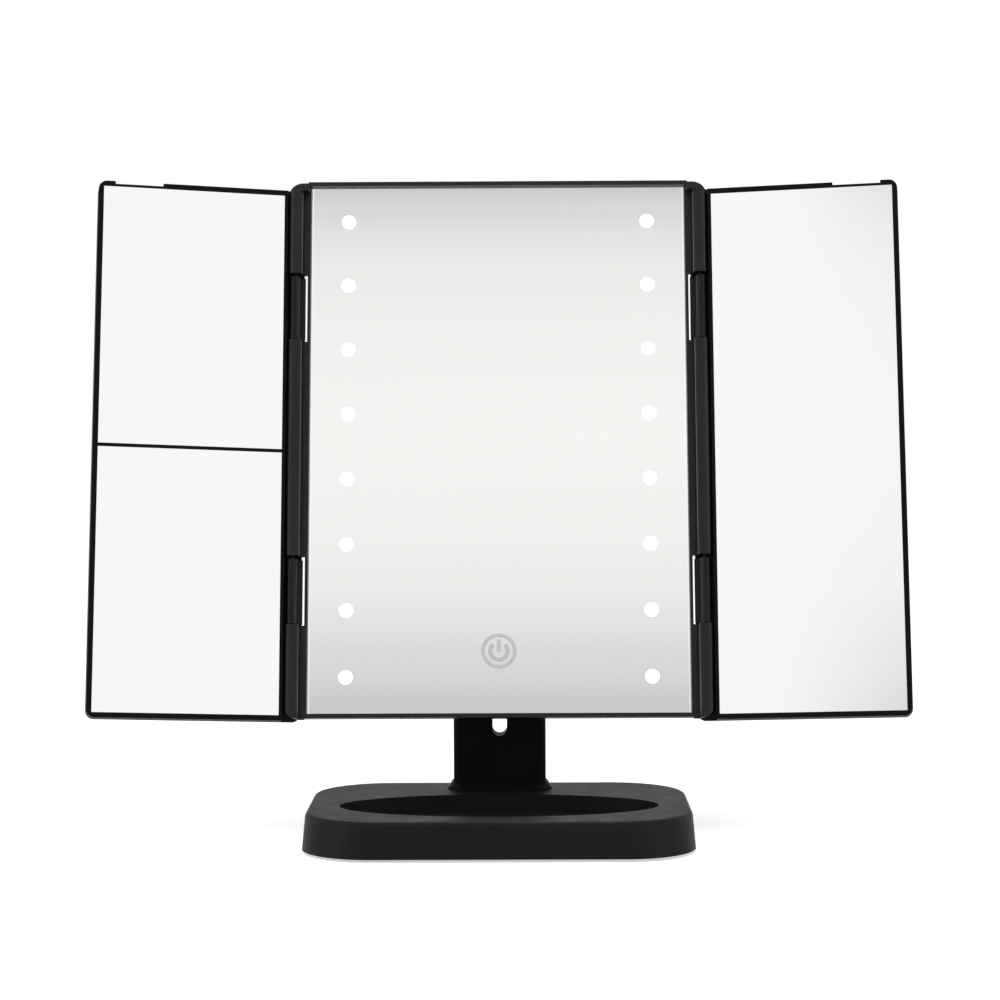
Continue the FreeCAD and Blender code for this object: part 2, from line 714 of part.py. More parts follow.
def make_front_frame():
    half_h = "frame_height / 2"
    half_rail = "rail_height / 2"
    rail_v = (f"-hinge_shift - {half_rail}", f"-hinge_shift + {half_rail}")
    pin_v = ("-hinge_shift - pin_length / 2", "-hinge_shift + pin_length / 2")
    foot = "rail_n - rail_radius - rail_foot"
    front_n = (foot, "rail_n + rail_rise")
    bridge_low = "-wing_shift + wing_height / 2 + bridge_gap"
    rails = []
    taken = [
        head_block(
            "frame view",
            ("-view_width / 2", "view_width / 2"),
            ("-frame_back", "frame_lip + cut_past"),
            ("-view_height / 2", "view_height / 2"),
        ),
        head_plate("frame pocket", *GLASS_POCKET, "glass_corner", ("-frame_back - cut_past", "0")),
    ]
    for name, side in SIDES:
        sign = "-" if side < 0 else ""
        rail_u = f"{sign}rail_u"
        flange_u = span_on(side, "frame_side - rail_bite", "rail_u")
        rails.append(
            oval(
                f"{name} rail",
                "2 * rail_radius",
                "2 * rail_rise",
                head_z(rail_v[0]),
                "rail_height",
                head_y("rail_n"),
                rail_u,
            )
        )
        rails.append(
            head_block(f"{name} rail web", span_on(side, "rail_u - rail_web", "rail_u"), front_n, rail_v)
        )
        rails.append(head_block(f"{name} rail flange", flange_u, (foot, "frame_lip"), rail_v))
        rails.append(head_block(f"{name} rail bridge", flange_u, front_n, (bridge_low, rail_v[1])))
        taken.append(upright(f"{name} pin bore", "pin_radius", rail_u, "rail_n", pin_v))
        for place, v in WINDOWS:
            taken.append(
                head_block(
                    f"{name} {place} window",
                    span_on(side, "frame_side", "rail_u + 2 * rail_radius"),
                    ("-frame_back - cut_past", "rail_n + 2 * rail_radius"),
                    (f"{v} - window_height / 2", f"{v} + window_height / 2"),
                )
            )
    outline = head_plate(
        "rail outline",
        "2 * (rail_u + rail_radius)",
        "rail_height",
        "rail_corner",
        ("-frame_back - cut_past", "rail_n + 2 * rail_radius"),
        "-hinge_shift",
    )
    rounded = common("rails rounded", fuse("rails square", *rails), outline)
    slab = head_block(
        "frame slab", ("-frame_side", "frame_side"), ("-frame_back", "frame_lip"), (f"-{half_h}", half_h)
    )
    keep(cut("center_front_frame", fuse("frame solid", slab, rounded), *taken), HEAD_PLACE)
    for name, side in SIDES:
        sign = "-" if side < 0 else ""
        pin = upright(f"{name} pin", "pin_radius", f"{sign}rail_u", "rail_n", pin_v)
        keep(group(f"{name}_hinge_pin", pin), HEAD_PLACE)


def make_glass_stack():
    glass = head_plate(
        "center_mirror", "glass_width", "glass_height", "glass_corner", ("-glass_thick", "0")
    )
    keep(glass, HEAD_PLACE)
    span = "light_pitch * (light_count - 1)"
    ends = (
        f"light_shift - {span} / 2 - led_board_over",
        f"light_shift + {span} / 2 + led_board_over",
    )
    for name, side in SIDES:
        middle = "light_u" if side > 0 else "-light_u"

        def strip(label, width, n):
            low = f"{middle} - ({width}) / 2"
            return head_block(label, (low, f"{middle} + ({width}) / 2"), n, ends)

        diffuser_back = "-glass_thick - diffuser_thick"
        diffuser = strip(f"{name} diffuser", "diffuser_width", (diffuser_back, "-glass_thick"))
        keep(group(f"{name}_light_diffuser", diffuser), HEAD_PLACE)
        led_board = strip(f"{name} board", "led_board_width", (BOARD_BACK, CHIPS_BACK))
        keep(group(f"{name}_led_board", led_board), HEAD_PLACE)
        chips = []
        for number in range(int(cell("light_count"))):
            v = f"light_shift + light_pitch * ({number} - (light_count - 1) / 2)"
            chips.append(
                head_block(
                    f"{name} led {number + 1}",
                    (f"{middle} - led_size / 2", f"{middle} + led_size / 2"),
                    (CHIPS_BACK, diffuser_back),
                    (f"{v} - led_size / 2", f"{v} + led_size / 2"),
                )
            )
        keep(group(f"{name}_leds", *chips), HEAD_PLACE)


def make_carrier():
    """Foam and plate behind the glass, with the touch key's spring and the control board."""
    carrier_w, carrier_h = GLASS_POCKET
    plate_n = (CARRIER_BACK, BOARD_BACK)
    touch = ("0", "touch_v")
    room = head_rod("touch room", "touch_radius + touch_gap", *touch, ("-housing_back", "0"))
    foam = head_block(
        "foam blank",
        ("-foam_width / 2", "foam_width / 2"),
        (BOARD_BACK, "-glass_thick"),
        ("-foam_height / 2", "foam_height / 2"),
    )
    keep(cut("mirror_pad", foam, room), HEAD_PLACE)
    outer = head_plate("carrier outer", carrier_w, carrier_h, "glass_corner", (CARRIER_BACK, "-glass_thick"))
    inner = head_block(
        "carrier inner",
        (f"carrier_rim - ({carrier_w}) / 2", f"({carrier_w}) / 2 - carrier_rim"),
        (BOARD_BACK, "0"),
        (f"carrier_rim - ({carrier_h}) / 2", f"({carrier_h}) / 2 - carrier_rim"),
    )
    posts = []
    screws = []
    well_floor = "-housing_back + well_depth"
    for number, (u, v) in enumerate(well_places(), start=1):
        post_n = (f"{well_floor} + well_wall", f"{CARRIER_BACK} + carrier_thick / 2")
        posts.append(head_rod(f"carrier post {number}", "post_radius", u, v, post_n))
        head_n = (f"{well_floor} - housing_screw_head_height", well_floor)
        shank_n = (well_floor, f"{BOARD_BACK} - carrier_thick / 2")
        screws.append(
            fuse(
                f"housing screw {number}",
                head_rod(f"housing screw head {number}", "housing_screw_head", u, v, head_n),
                head_rod(f"housing screw shank {number}", "housing_screw_radius", u, v, shank_n),
            )
        )
    body = fuse("carrier body", cut("carrier dish", outer, inner), *posts)
    keep(cut("mirror_carrier", body, room, group("housing screw holes", *screws)), HEAD_PLACE)
    keep(group("housing_screws", *screws), HEAD_PLACE)
    board_n = (f"{CARRIER_BACK} - control_thick", CARRIER_BACK)
    board_v = ("-control_low", "-control_high")
    board = head_block("board", ("-control_left", "control_right"), board_n, board_v)
    chip = head_block(
        "board chip",
        ("chip_u - chip_size / 2", "chip_u + chip_size / 2"),
        (f"{board_n[0]} - chip_height", board_n[0]),
        ("touch_v - chip_size / 2", "touch_v + chip_size / 2"),
    )
    keep(fuse("control_board", board, chip), HEAD_PLACE)
    spring = head_rod("spring coil", "touch_radius", *touch, (CARRIER_BACK, "-glass_thick"))
    core_n = (f"{CARRIER_BACK} + touch_spring_wall", "-glass_thick")
    core = head_rod("spring core", "touch_radius - touch_spring_wall", *touch, core_n)
    keep(cut("touch_spring", spring, core), HEAD_PLACE)
    return board_n


def well_places():
    """Six screw wells: three down each side."""
    return [(u, v) for u in ("-well_u", "well_u") for v in ("-well_v", "0", "well_v")]


def make_housing(board_n):
    front = CARRIER_BACK
    back = "-housing_back"
    wide = "2 * (frame_side - housing_inset)"
    tall = "frame_height - 2 * housing_inset"
    narrow = f"{wide} - 2 * housing_draft_side"
    short = f"{tall} - 2 * housing_draft_end"

    def shell(label, shrink, n0, n1):
        """The outer form or, shrunk by the wall, the inner one; it tapers from n1 back to n0."""
        first = (f"{narrow} - {shrink}", f"{short} - {shrink}", "housing_corner", f"axle_back + ({n0})")
        second = (f"{wide} - {shrink}", f"{tall} - {shrink}", "housing_corner", f"axle_back + ({n1})")
        return loft(label, "XZ", first, second, centre=("0", head_z("0")))

    outer = shell("housing outer", "0", back, front)
    inner = shell("housing inner", "2 * housing_wall", f"{back} + housing_wall", front)
    bay_half_v = "(cell_pitch * (cell_count - 1) / 2 + cell_radius + bay_end_gap + bay_wall + bay_gap)"
    bay_half_u = "(cell_length / 2 + contact_length + bay_wall + bay_gap)"
    tray_back = f"{CARRIER_BACK} - bay_wall - cell_rest - 2 * cell_radius - cell_rest"
    door_front = f"{tray_back} - door_gap"
    door_back = f"{door_front} - door_thick"
    rim_u = f"({bay_half_u} + bay_rim)"
    rim_v = f"({bay_half_v} + bay_rim)"
    bump = head_block(
        "bay rim", (f"-{rim_u}", rim_u), (door_back, back), (f"bay_v - {rim_v}", f"bay_v + {rim_v}")
    )
    bay = head_block(
        "bay room",
        (f"-{bay_half_u}", bay_half_u),
        (f"{door_back} - cut_past", "0"),
        (f"bay_v - {bay_half_v}", f"bay_v + {bay_half_v}"),
    )
    over = head_block(
        "bay way out",
        (f"-{bay_half_u} - door_tongue - door_clear", f"{bay_half_u} + door_tongue + door_clear"),
        (f"{door_back} - cut_past", f"{door_front} + door_clear"),
        (f"bay_v + {bay_half_v} - cut_past", f"bay_v + {rim_v} + cut_past"),
    )
    tongue_n = (f"{door_front} - door_tongue", door_front)
    groove = head_block(
        "bay grooves",
        (f"-{bay_half_u} - door_tongue - door_clear", f"{bay_half_u} + door_tongue + door_clear"),
        (f"{tongue_n[0]} - door_clear", f"{door_front} + door_clear"),
        (f"bay_v - {bay_half_v}", f"bay_v + {rim_v} + cut_past"),
    )
    wells = []
    well_rooms = []
    well_bores = []
    well_floor = f"{back} + well_depth"
    for number, (u, v) in enumerate(well_places(), start=1):
        wells.append(
            head_rod(f"well {number}", "well_radius + well_wall", u, v, (back, f"{well_floor} + well_wall"))
        )
        room_n = (f"{back} - cut_past", well_floor)
        well_rooms.append(head_rod(f"well room {number}", "well_radius", u, v, room_n))
        bore_n = (well_floor, f"{well_floor} + 2 * well_wall")
        well_bores.append(head_rod(f"well bore {number}", "housing_screw_radius", u, v, bore_n))
    half_slot = "(slider_length / 2 + switch_travel / 2 + slider_gap)"
    half_wide = "(slider_width / 2 + slider_gap)"
    slot = head_block(
        "switch slot",
        (f"switch_u - {half_slot}", f"switch_u + {half_slot}"),
        (f"{back} - cut_past", f"{back} + 2 * housing_wall"),
        (f"switch_v - {half_wide}", f"switch_v + {half_wide}"),
    )
    socket_n = (f"{board_n[0]} - socket_height", board_n[0])
    doorway = head_block(
        "socket opening",
        ("socket_u - socket_width / 2 - socket_gap", "socket_u + socket_width / 2 + socket_gap"),
        (f"{socket_n[0]} - socket_gap", f"{socket_n[1]} + socket_gap"),
        ("-frame_height / 2 - cut_past", "socket_depth - socket_mouth"),
    )
    bracket_bore_n = (f"{back} - cut_past", f"{back} + bracket_screw_length")
    bracket_bores = [
        head_rod(f"bracket bore {number}", "bracket_screw_radius", u, v, bracket_bore_n)
        for number, (u, v) in enumerate(bracket_screw_places(), start=1)
    ]
    backing = head_block(
        "bracket backing",
        ("-bracket_width / 2", "bracket_width / 2"),
        (back, f"{back} + bracket_screw_length - bracket_plate"),
        ("-axle_drop - bracket_half_height + housing_wall", "-axle_drop + bracket_half_height"),
    )
    hollow = cut("housing hollow", outer, inner)
    lined = fuse("housing lined", hollow, bump, backing, *wells)
    taken = [bay, over, groove, slot, doorway, *well_rooms, *well_bores, *bracket_bores]
    keep(cut("center_rear_housing", lined, *taken), HEAD_PLACE)
    make_batteries(bay_half_u, bay_half_v, tray_back)
    make_door(bay_half_u, bay_half_v, rim_v, door_front, door_back, tongue_n)
    make_switch_and_socket(back, socket_n)
    make_bracket(back)


def make_batteries(bay_half_u, bay_half_v, tray_back):
    tray_u = f"({bay_half_u} - bay_gap)"
    tray_v = f"({bay_half_v} - bay_gap)"
    outer = head_block(
        "tray outer",
        (f"-{tray_u}", tray_u),
        (tray_back, CARRIER_BACK),
        (f"bay_v - {tray_v}", f"bay_v + {tray_v}"),
    )
    inner = head_block(
        "tray inner",
        (f"bay_wall - {tray_u}", f"{tray_u} - bay_wall"),
        (f"{tray_back} - cut_past", f"{CARRIER_BACK} - bay_wall"),
        (f"bay_v - {tray_v} + bay_wall", f"bay_v + {tray_v} - bay_wall"),
    )
    keep(cut("battery_tray", outer, inner), HEAD_PLACE)
    middle_n = f"{CARRIER_BACK} - bay_wall - cell_rest - cell_radius"
    cells = []
    contacts = []
    for number in range(int(cell("cell_count"))):
        v = f"bay_v + cell_pitch * ({number} - (cell_count - 1) / 2)"
        middle = (head_y(middle_n), head_z(v))
        cell_start = ("-cell_length / 2", *middle)
        cells.append(rod(f"cell {number + 1}", "x", "cell_radius", cell_start, "cell_length"))
        for end, start in (("left", "-cell_length / 2 - contact_length"), ("right", "cell_length / 2")):
            contacts.append(
                rod(f"{end} contact {number + 1}", "x", "contact_radius", (start, *middle), "contact_length")
            )
    keep(group("battery_cells", *cells), HEAD_PLACE)
    keep(group("battery_contacts", *contacts), HEAD_PLACE)


def make_door(bay_half_u, bay_half_v, rim_v, door_front, door_back, tongue_n):
    half_u = f"({bay_half_u} - door_gap)"
    v = (f"bay_v - {bay_half_v} + door_gap", f"bay_v + {rim_v}")
    panel = head_block("door panel", (f"-{half_u}", half_u), (door_back, door_front), v)
    wide_u = f"({bay_half_u} + door_tongue)"
    tongues = head_block("door tongues", (f"-{wide_u}", wide_u), tongue_n, v)
    ribs = []
    for number in range(int(cell("door_rib_count"))):
        high = f"{v[1]} - door_rib_end - 2 * door_rib_width * {number}"
        ribs.append(
            head_block(
                f"door rib {number + 1}",
                ("-door_rib_length / 2", "door_rib_length / 2"),
                (f"{door_back} - door_rib_height", door_back),
                (f"{high} - door_rib_width", high),
            )
        )
    keep(fuse("battery_door", panel, tongues, *ribs), HEAD_PLACE)


def make_switch_and_socket(back, socket_n):
    inside = f"{back} + housing_wall"
    body = head_block(
        "switch box",
        ("switch_u - switch_body_length / 2", "switch_u + switch_body_length / 2"),
        (inside, f"{inside} + switch_body_height"),
        ("switch_v - switch_body_width / 2", "switch_v + switch_body_width / 2"),
    )
    keep(group("switch_body", body), HEAD_PLACE)
    off_u = "switch_u - switch_travel / 2"
    slider = head_block(
        "switch slider",
        (f"{off_u} - slider_length / 2", f"{off_u} + slider_length / 2"),
        (f"{back} - slider_proud", f"{inside} - slider_gap"),
        ("switch_v - slider_width / 2", "switch_v + slider_width / 2"),
    )
    keep(group("switch_slider", slider), HEAD_PLACE)
    half = "(socket_width / 2)"
    mouth = "-socket_mouth"
    shell = head_block(
        "socket shell",
        (f"socket_u - {half}", f"socket_u + {half}"),
        socket_n,
        (mouth, f"{mouth} + socket_depth"),
    )
    room = head_block(
        "socket room",
        (f"socket_u - {half} + socket_wall", f"socket_u + {half} - socket_wall"),
        (f"{socket_n[0]} + socket_wall", f"{socket_n[1]} - socket_wall"),
        (f"{mouth} - cut_past", f"{mouth} + socket_depth - 2 * socket_wall"),
    )
    middle_n = f"({socket_n[0]} + socket_height / 2)"
    tongue = head_block(
        "socket tongue",
        (f"socket_u - {half} + socket_tongue_inset", f"socket_u + {half} - socket_tongue_inset"),
        (f"{middle_n} - socket_wall", f"{middle_n} + socket_wall"),
        (f"{mouth} + socket_wall", f"{mouth} + socket_depth"),
    )
    keep(fuse("usb_socket", cut("socket can", shell, room), tongue), HEAD_PLACE)


def bracket_screw_places():
    return [
        (u, v)
        for u in ("-bracket_screw_x", "bracket_screw_x")
        for v in ("-axle_drop - bracket_screw_v", "-axle_drop + bracket_screw_v")
    ]


def make_bracket(back):
    plate_back = f"{back} - bracket_plate"
    foot = head_block(
        "bracket foot",
        ("-bracket_width / 2", "bracket_width / 2"),
        (plate_back, back),
        ("-axle_drop - bracket_half_height", "-axle_drop + bracket_half_height"),
    )
    half = "(slot_width / 2 - washer_height - tongue_gap)"
    neck = head_block(
        "tongue bar",
        (f"-{half}", half),
        ("-axle_back", plate_back),
        ("-axle_drop - tongue_radius", "-axle_drop + tongue_radius"),
    )
    eye = rod("tongue eye", "x", "tongue_radius", (f"-{half}", "0", "0"), f"2 * {half}")
    bore = rod("tongue bore", "x", "axle_radius + axle_running_gap", (f"-{half}", "0", "0"), f"2 * {half}")
    screws = []
    for number, (u, v) in enumerate(bracket_screw_places(), start=1):
        seat = f"{plate_back} + bracket_screw_sink"
        screws.append(
            fuse(
                f"bracket screw {number}",
                head_rod(f"bracket screw head {number}", "bracket_screw_head", u, v, (plate_back, seat)),
                head_rod(
                    f"bracket screw shank {number}",
                    "bracket_screw_radius",
                    u,
                    v,
                    (seat, f"{plate_back} + bracket_screw_length"),
                ),
            )
        )
    solid = fuse("bracket solid", foot, neck, eye)
    keep(cut("tilt_bracket", solid, bore, group("bracket screw holes", *screws)), HEAD_PLACE)
    keep(group("bracket_screws", *screws), HEAD_PLACE)


# ---------------------------------------------------------------------------------------------
# Wings, in (r, e, v)


def wing_place(side):
    """From a wing's frame to the world, through the head's frame."""
    hinge = Vector(side * cell("rail_u"), -cell("axle_back") - cell("rail_n"), cell("axle_drop"))
    angle = cell("wing_open_right") if side > 0 else cell("wing_open_left")
    return HEAD_PLACE.multiply(Placement(hinge, Rotation(Vector(0, 0, 1), -side * angle)))


def make_wing(name, side, split):
    place = wing_place(side)
    half_h = "wing_height / 2"
    tall = (f"-wing_shift - {half_h}", f"-wing_shift + {half_h}")
    flange_back = "-wing_flange_front - wing_back_thick"

    def leaf_block(label, r, e, v):
        return block(f"{name} {label}", span_on(side, *r), (f"-({e[1]})", f"-({e[0]})"), v)

    def leaf_plate(label, r, e, v, corner):
        """A rounded plate over three spans."""
        x = span_on(side, *r)
        centre = (f"(({x[0]}) + ({x[1]})) / 2", f"(({v[0]}) + ({v[1]})) / 2")
        size = (f"({x[1]}) - ({x[0]})", f"({v[1]}) - ({v[0]})")
        return plate(f"{name} {label}", "XZ", *size, corner, f"{e[0]}", f"({e[1]}) - ({e[0]})", centre)

    outer_r = ("wing_inner", "wing_outer")
    inner_r = ("wing_inner + wing_hinge_rim", "wing_outer - wing_rim")
    inner_v = (f"{tall[0]} + wing_rim", f"{tall[1]} - wing_rim")
    mirror_front = "wing_front - wing_mirror_sink"
    mirror_back = f"{mirror_front} - wing_mirror_thick"
    floor_front = f"{mirror_back} - wing_tape"
    floor_back = f"{floor_front} - wing_floor"
    notch = leaf_block(
        "notch",
        ("wing_outer - notch_outer - notch_length", "wing_outer - notch_outer"),
        (f"{flange_back} - cut_past", "wing_front + cut_past"),
        (f"{tall[1]} - notch_depth", f"{tall[1]} + cut_past"),
    )
    frame_e = ("-wing_flange_front", "wing_front")
    frame = fuse(
        f"{name} frame blank",
        leaf_plate("frame outer half", outer_r, frame_e, tall, "wing_corner"),
        leaf_block("frame hinge side", ("wing_inner", "wing_outer / 2"), frame_e, tall),
    )
    well_e = (floor_front, "wing_front + cut_past")
    well = leaf_plate("mirror well", inner_r, well_e, inner_v, "pocket_corner")
    rear_e = ("-wing_flange_front - cut_past", floor_back)
    rear = leaf_plate("rear well", inner_r, rear_e, inner_v, "pocket_corner")
    keep(cut(f"{name}_wing_frame", frame, well, rear, notch), place)

    flange = leaf_plate(
        "flange", ("-wing_flange_end", "wing_outer"), (flange_back, "-wing_flange_front"), tall, "wing_corner"
    )
    ear = leaf_block(
        "ear",
        ("-ear_reach", "ear_outer"),
        (flange_back, "-wing_flange_front"),
        (f"{tall[1]} - wing_corner", f"{tall[1]} + ear_height"),
    )
    foot_e = ("-wing_flange_front - wing_back_thick / 2", "-foot_front")
    knuckles = []
    for where, v in WINDOWS:
        low = f"{v} - window_height / 2 + knuckle_end_gap"
        high = f"{v} + window_height / 2 - knuckle_top_gap"
        knuckles.append(
            rod(f"{name} {where} knuckle", "z", "knuckle_radius", ("0", "0", low), f"({high}) - ({low})")
        )
        knuckles.append(
            leaf_block(
                f"{where} web",
                ("-web_width / 2", "web_width / 2"),
                ("-wing_flange_front - wing_back_thick / 2", "0"),
                (low, high),
            )
        )
        knuckles.append(
            leaf_block(f"{where} foot", ("-wing_flange_end", "web_width / 2"), foot_e, (low, high))
        )
    bore_radius = "pin_radius + pin_running_gap"
    bore = rod(f"{name} knuckle bore", "z", bore_radius, ("0", "0", tall[0]), "wing_height")
    keep(cut(f"{name}_wing_back", fuse(f"{name} back solid", flange, ear, *knuckles), bore, notch), place)

    gap = "wing_mirror_gap"
    mirror_r = (f"{inner_r[0]} + {gap}", f"{inner_r[1]} - {gap}")
    low, high = f"{inner_v[0]} + {gap}", f"{inner_v[1]} - {gap}"
    if split:
        edge = "divider_height / 2"
        panes = (
            (f"{name}_lower_mirror", (low, f"-wing_shift - {edge}")),
            (f"{name}_upper_mirror", (f"-wing_shift + {edge}", high)),
        )
        bar = leaf_block(
            "divider",
            mirror_r,
            (floor_front, "wing_front - wing_mirror_sink / 2"),
            (f"-wing_shift - {edge}", f"-wing_shift + {edge}"),
        )
        keep(group(f"{name}_divider", bar), place)
    else:
        panes = ((f"{name}_wing_mirror", (low, high)),)
    tapes = []
    for pane, v in panes:
        keep(group(pane, leaf_block(pane + " pane", mirror_r, (mirror_back, mirror_front), v)), place)
        tapes.append(leaf_block(pane + " tape", mirror_r, (floor_front, mirror_back), v))
    keep(group(f"{name}_mirror_tape", *tapes), place)


make_neck(make_base())
make_front_frame()
make_glass_stack()
make_housing(make_carrier())
for wing_name, wing_side in SIDES:
    make_wing(wing_name, wing_side, split=wing_side < 0)

doc.recompute()

faults = [obj.Label for obj in doc.Objects if {"Invalid", "Error"} & set(obj.State)]
for node_name, node in nodes.items():
    shape = node.Shape
    if shape.isNull() or not shape.isValid() or not shape.Solids:
        faults.append(node_name)
if faults:
    raise RuntimeError("not built: " + ", ".join(faults))

os.makedirs("parts", exist_ok=True)
for node_name, node in nodes.items():
    node.Shape.exportStep(os.path.join("parts", node_name + ".step"))
    print(f"{node_name:24s} solids {len(node.Shape.Solids):2d}  volume {node.Shape.Volume:10.1f}")
print(len(nodes), "nodes")
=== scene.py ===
import json
import math

import bmesh
import bpy
from mathutils import Matrix, Vector


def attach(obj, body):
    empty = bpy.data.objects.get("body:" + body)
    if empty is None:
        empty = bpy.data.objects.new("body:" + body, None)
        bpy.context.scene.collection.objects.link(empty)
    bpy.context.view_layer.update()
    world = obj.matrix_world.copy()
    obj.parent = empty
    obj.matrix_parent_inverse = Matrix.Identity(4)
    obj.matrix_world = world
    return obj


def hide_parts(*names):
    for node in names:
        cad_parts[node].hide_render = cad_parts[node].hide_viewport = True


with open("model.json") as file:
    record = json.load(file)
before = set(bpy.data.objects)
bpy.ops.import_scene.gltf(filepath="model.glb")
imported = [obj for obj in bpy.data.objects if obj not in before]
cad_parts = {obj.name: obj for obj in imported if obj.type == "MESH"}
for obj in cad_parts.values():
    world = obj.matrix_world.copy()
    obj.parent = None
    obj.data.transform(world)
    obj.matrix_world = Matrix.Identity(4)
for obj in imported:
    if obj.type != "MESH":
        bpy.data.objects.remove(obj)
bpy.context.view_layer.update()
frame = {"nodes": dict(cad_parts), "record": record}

# A lighted trifold vanity mirror on a low stand with a tray: its finishes, its small parts,
# and the studio that it stands in. Lengths are in metres; MM turns millimetres into them.

MM = 0.001


# ---------------------------------------------------------------------------------------------
# Places on the head. HEAD takes (u, v, n): u to the right, v up from the mirror's middle and
# n out of its face. HEAD_UPRIGHT is the same place with x to the right, -y out and z up.

TILT = math.radians(12.5)
AXLE = Vector((0, 37 * MM, 62.7 * MM))
AXLE_BACK = 24.5 * MM
AXLE_DROP = 95 * MM
HEAD_FROM_AXLE = Matrix.Translation((0, -AXLE_BACK, AXLE_DROP))
FACE_AXES = Matrix(((1, 0, 0, 0), (0, 0, -1, 0), (0, 1, 0, 0), (0, 0, 0, 1)))
HEAD_UPRIGHT = Matrix.Translation(AXLE) @ Matrix.Rotation(-TILT, 4, "X") @ HEAD_FROM_AXLE
HEAD = HEAD_UPRIGHT @ FACE_AXES

LIGHT_U = 63.55 * MM
LIGHT_PITCH = 27.9 * MM
LIGHT_SHIFT = -0.1 * MM
LIGHT_COUNT = 8
MARK_V = -87.0 * MM
ON_GLASS = 0.01 * MM


# ---------------------------------------------------------------------------------------------
# Shader helpers

# A Mix node's colour sockets go by number, because they share their names with its others.
MIX_FIRST = 6
MIX_SECOND = 7
MIX_RESULT = 2
WHITE = (1, 1, 1, 1)


class Shader:
    """One material and a short way to add and join its nodes."""

    def __init__(self, name):
        self.material = bpy.data.materials.new(name)
        self.material.use_nodes = True
        self.tree = self.material.node_tree
        self.tree.nodes.clear()
        self.out = self.tree.nodes.new("ShaderNodeOutputMaterial")
        self.object = self.add("ShaderNodeTexCoord").outputs["Object"]

    def add(self, kind, **settings):
        node = self.tree.nodes.new(kind)
        for key, value in settings.items():
            setattr(node, key, value)
        return node

    def join(self, source, target):
        self.tree.links.new(source, target)

    def noise(self, scale, detail, roughness=0.5, stretch=(1, 1, 1)):
        """Noise on the object's own coordinates; scale is in features per metre."""
        mapping = self.add("ShaderNodeMapping")
        mapping.inputs["Scale"].default_value = stretch
        self.join(self.object, mapping.inputs["Vector"])
        noise = self.add("ShaderNodeTexNoise")
        noise.inputs["Scale"].default_value = scale
        noise.inputs["Detail"].default_value = detail
        noise.inputs["Roughness"].default_value = roughness
        self.join(mapping.outputs["Vector"], noise.inputs["Vector"])
        return noise.outputs["Fac"]

    def span(self, value, low, high, start=0.3, end=0.7):
        """A value's range from start to end spread over low to high."""
        ranged = self.add("ShaderNodeMapRange")
        self.join(value, ranged.inputs["Value"])
        ranged.inputs["From Min"].default_value = start
        ranged.inputs["From Max"].default_value = end
        ranged.inputs["To Min"].default_value = low
        ranged.inputs["To Max"].default_value = high
        return ranged.outputs["Result"]

    def blend(self, factor, first, second):
        """A colour between two, by a factor."""
        mix = self.add("ShaderNodeMix", data_type="RGBA")
        self.join(factor, mix.inputs["Factor"])
        mix.inputs[MIX_FIRST].default_value = (*first, 1)
        mix.inputs[MIX_SECOND].default_value = (*second, 1)
        return mix.outputs[MIX_RESULT]

    def bump(self, height, distance, strength):
        bump = self.add("ShaderNodeBump")
        bump.inputs["Distance"].default_value = distance
        bump.inputs["Strength"].default_value = strength
        self.join(height, bump.inputs["Height"])
        return bump.outputs["Normal"]

    def surface(self, **plain):
        """The main shader, its plain values set on its own sockets."""
        shader = self.add("ShaderNodeBsdfPrincipled")
        for key, value in plain.items():
            shader.inputs[key.replace("_", " ")].default_value = value
        self.join(shader.outputs["BSDF"], self.out.inputs["Surface"])
        return shader.inputs


# ---------------------------------------------------------------------------------------------
# Finishes

PLASTIC_WEAR = 0.25
PLASTIC_WORN_LIFT = 0.001
PLASTIC_GRAIN_DEPTH = 0.02 * MM


def moulded_plastic(name, colour, roughness, specular):
    """Satin moulded plastic: a fine spark texture, uneven sheen and slightly worn tone."""
    s = Shader(name)
    surface = s.surface(Specular_IOR_Level=specular)
    worn = tuple(channel * (1 + PLASTIC_WEAR) + PLASTIC_WORN_LIFT for channel in colour)
    deep = tuple(channel * (1 - PLASTIC_WEAR) for channel in colour)
    s.join(s.blend(s.noise(scale=38, detail=4), deep, worn), surface["Base Color"])
    sheen = s.noise(scale=85, detail=5, roughness=0.6)
    s.join(s.span(sheen, low=roughness - 0.035, high=roughness + 0.045), surface["Roughness"])
    grain = s.noise(scale=1600, detail=2)
    s.join(s.bump(grain, distance=PLASTIC_GRAIN_DEPTH, strength=0.35), surface["Normal"])
    return s.material


SILVER = (0.936, 0.933, 0.927)
SILVER_DULL_SHARE = 0.992


def silvered_glass(name, colour):
    """Silvered glass, with the faint haze of a wiped surface."""
    s = Shader(name)
    surface = s.surface(Metallic=1.0)
    slightly_dull = tuple(channel * SILVER_DULL_SHARE for channel in colour)
    s.join(s.blend(s.noise(scale=14, detail=3), slightly_dull, colour), surface["Base Color"])
    wiped = s.noise(scale=22, detail=4, roughness=0.55, stretch=(1.0, 1.0, 0.35))
    s.join(s.span(wiped, low=0.0, high=0.012, start=0.45, end=0.8), surface["Roughness"])
    return s.material


STEEL_DULL_SHARE = 0.85


def plated_steel(name, colour, roughness):
    """Plated steel with fine lines from its drawing or turning."""
    s = Shader(name)
    surface = s.surface(Metallic=1.0)
    duller = tuple(channel * STEEL_DULL_SHARE for channel in colour)
    s.join(s.blend(s.noise(scale=120, detail=4), duller, colour), surface["Base Color"])
    lines = s.noise(scale=700, detail=3, roughness=0.6, stretch=(0.15, 1, 1))
    s.join(s.span(lines, low=roughness - 0.06, high=roughness + 0.08), surface["Roughness"])
    s.join(s.bump(lines, distance=0.01 * MM, strength=0.25), surface["Normal"])
    return s.material


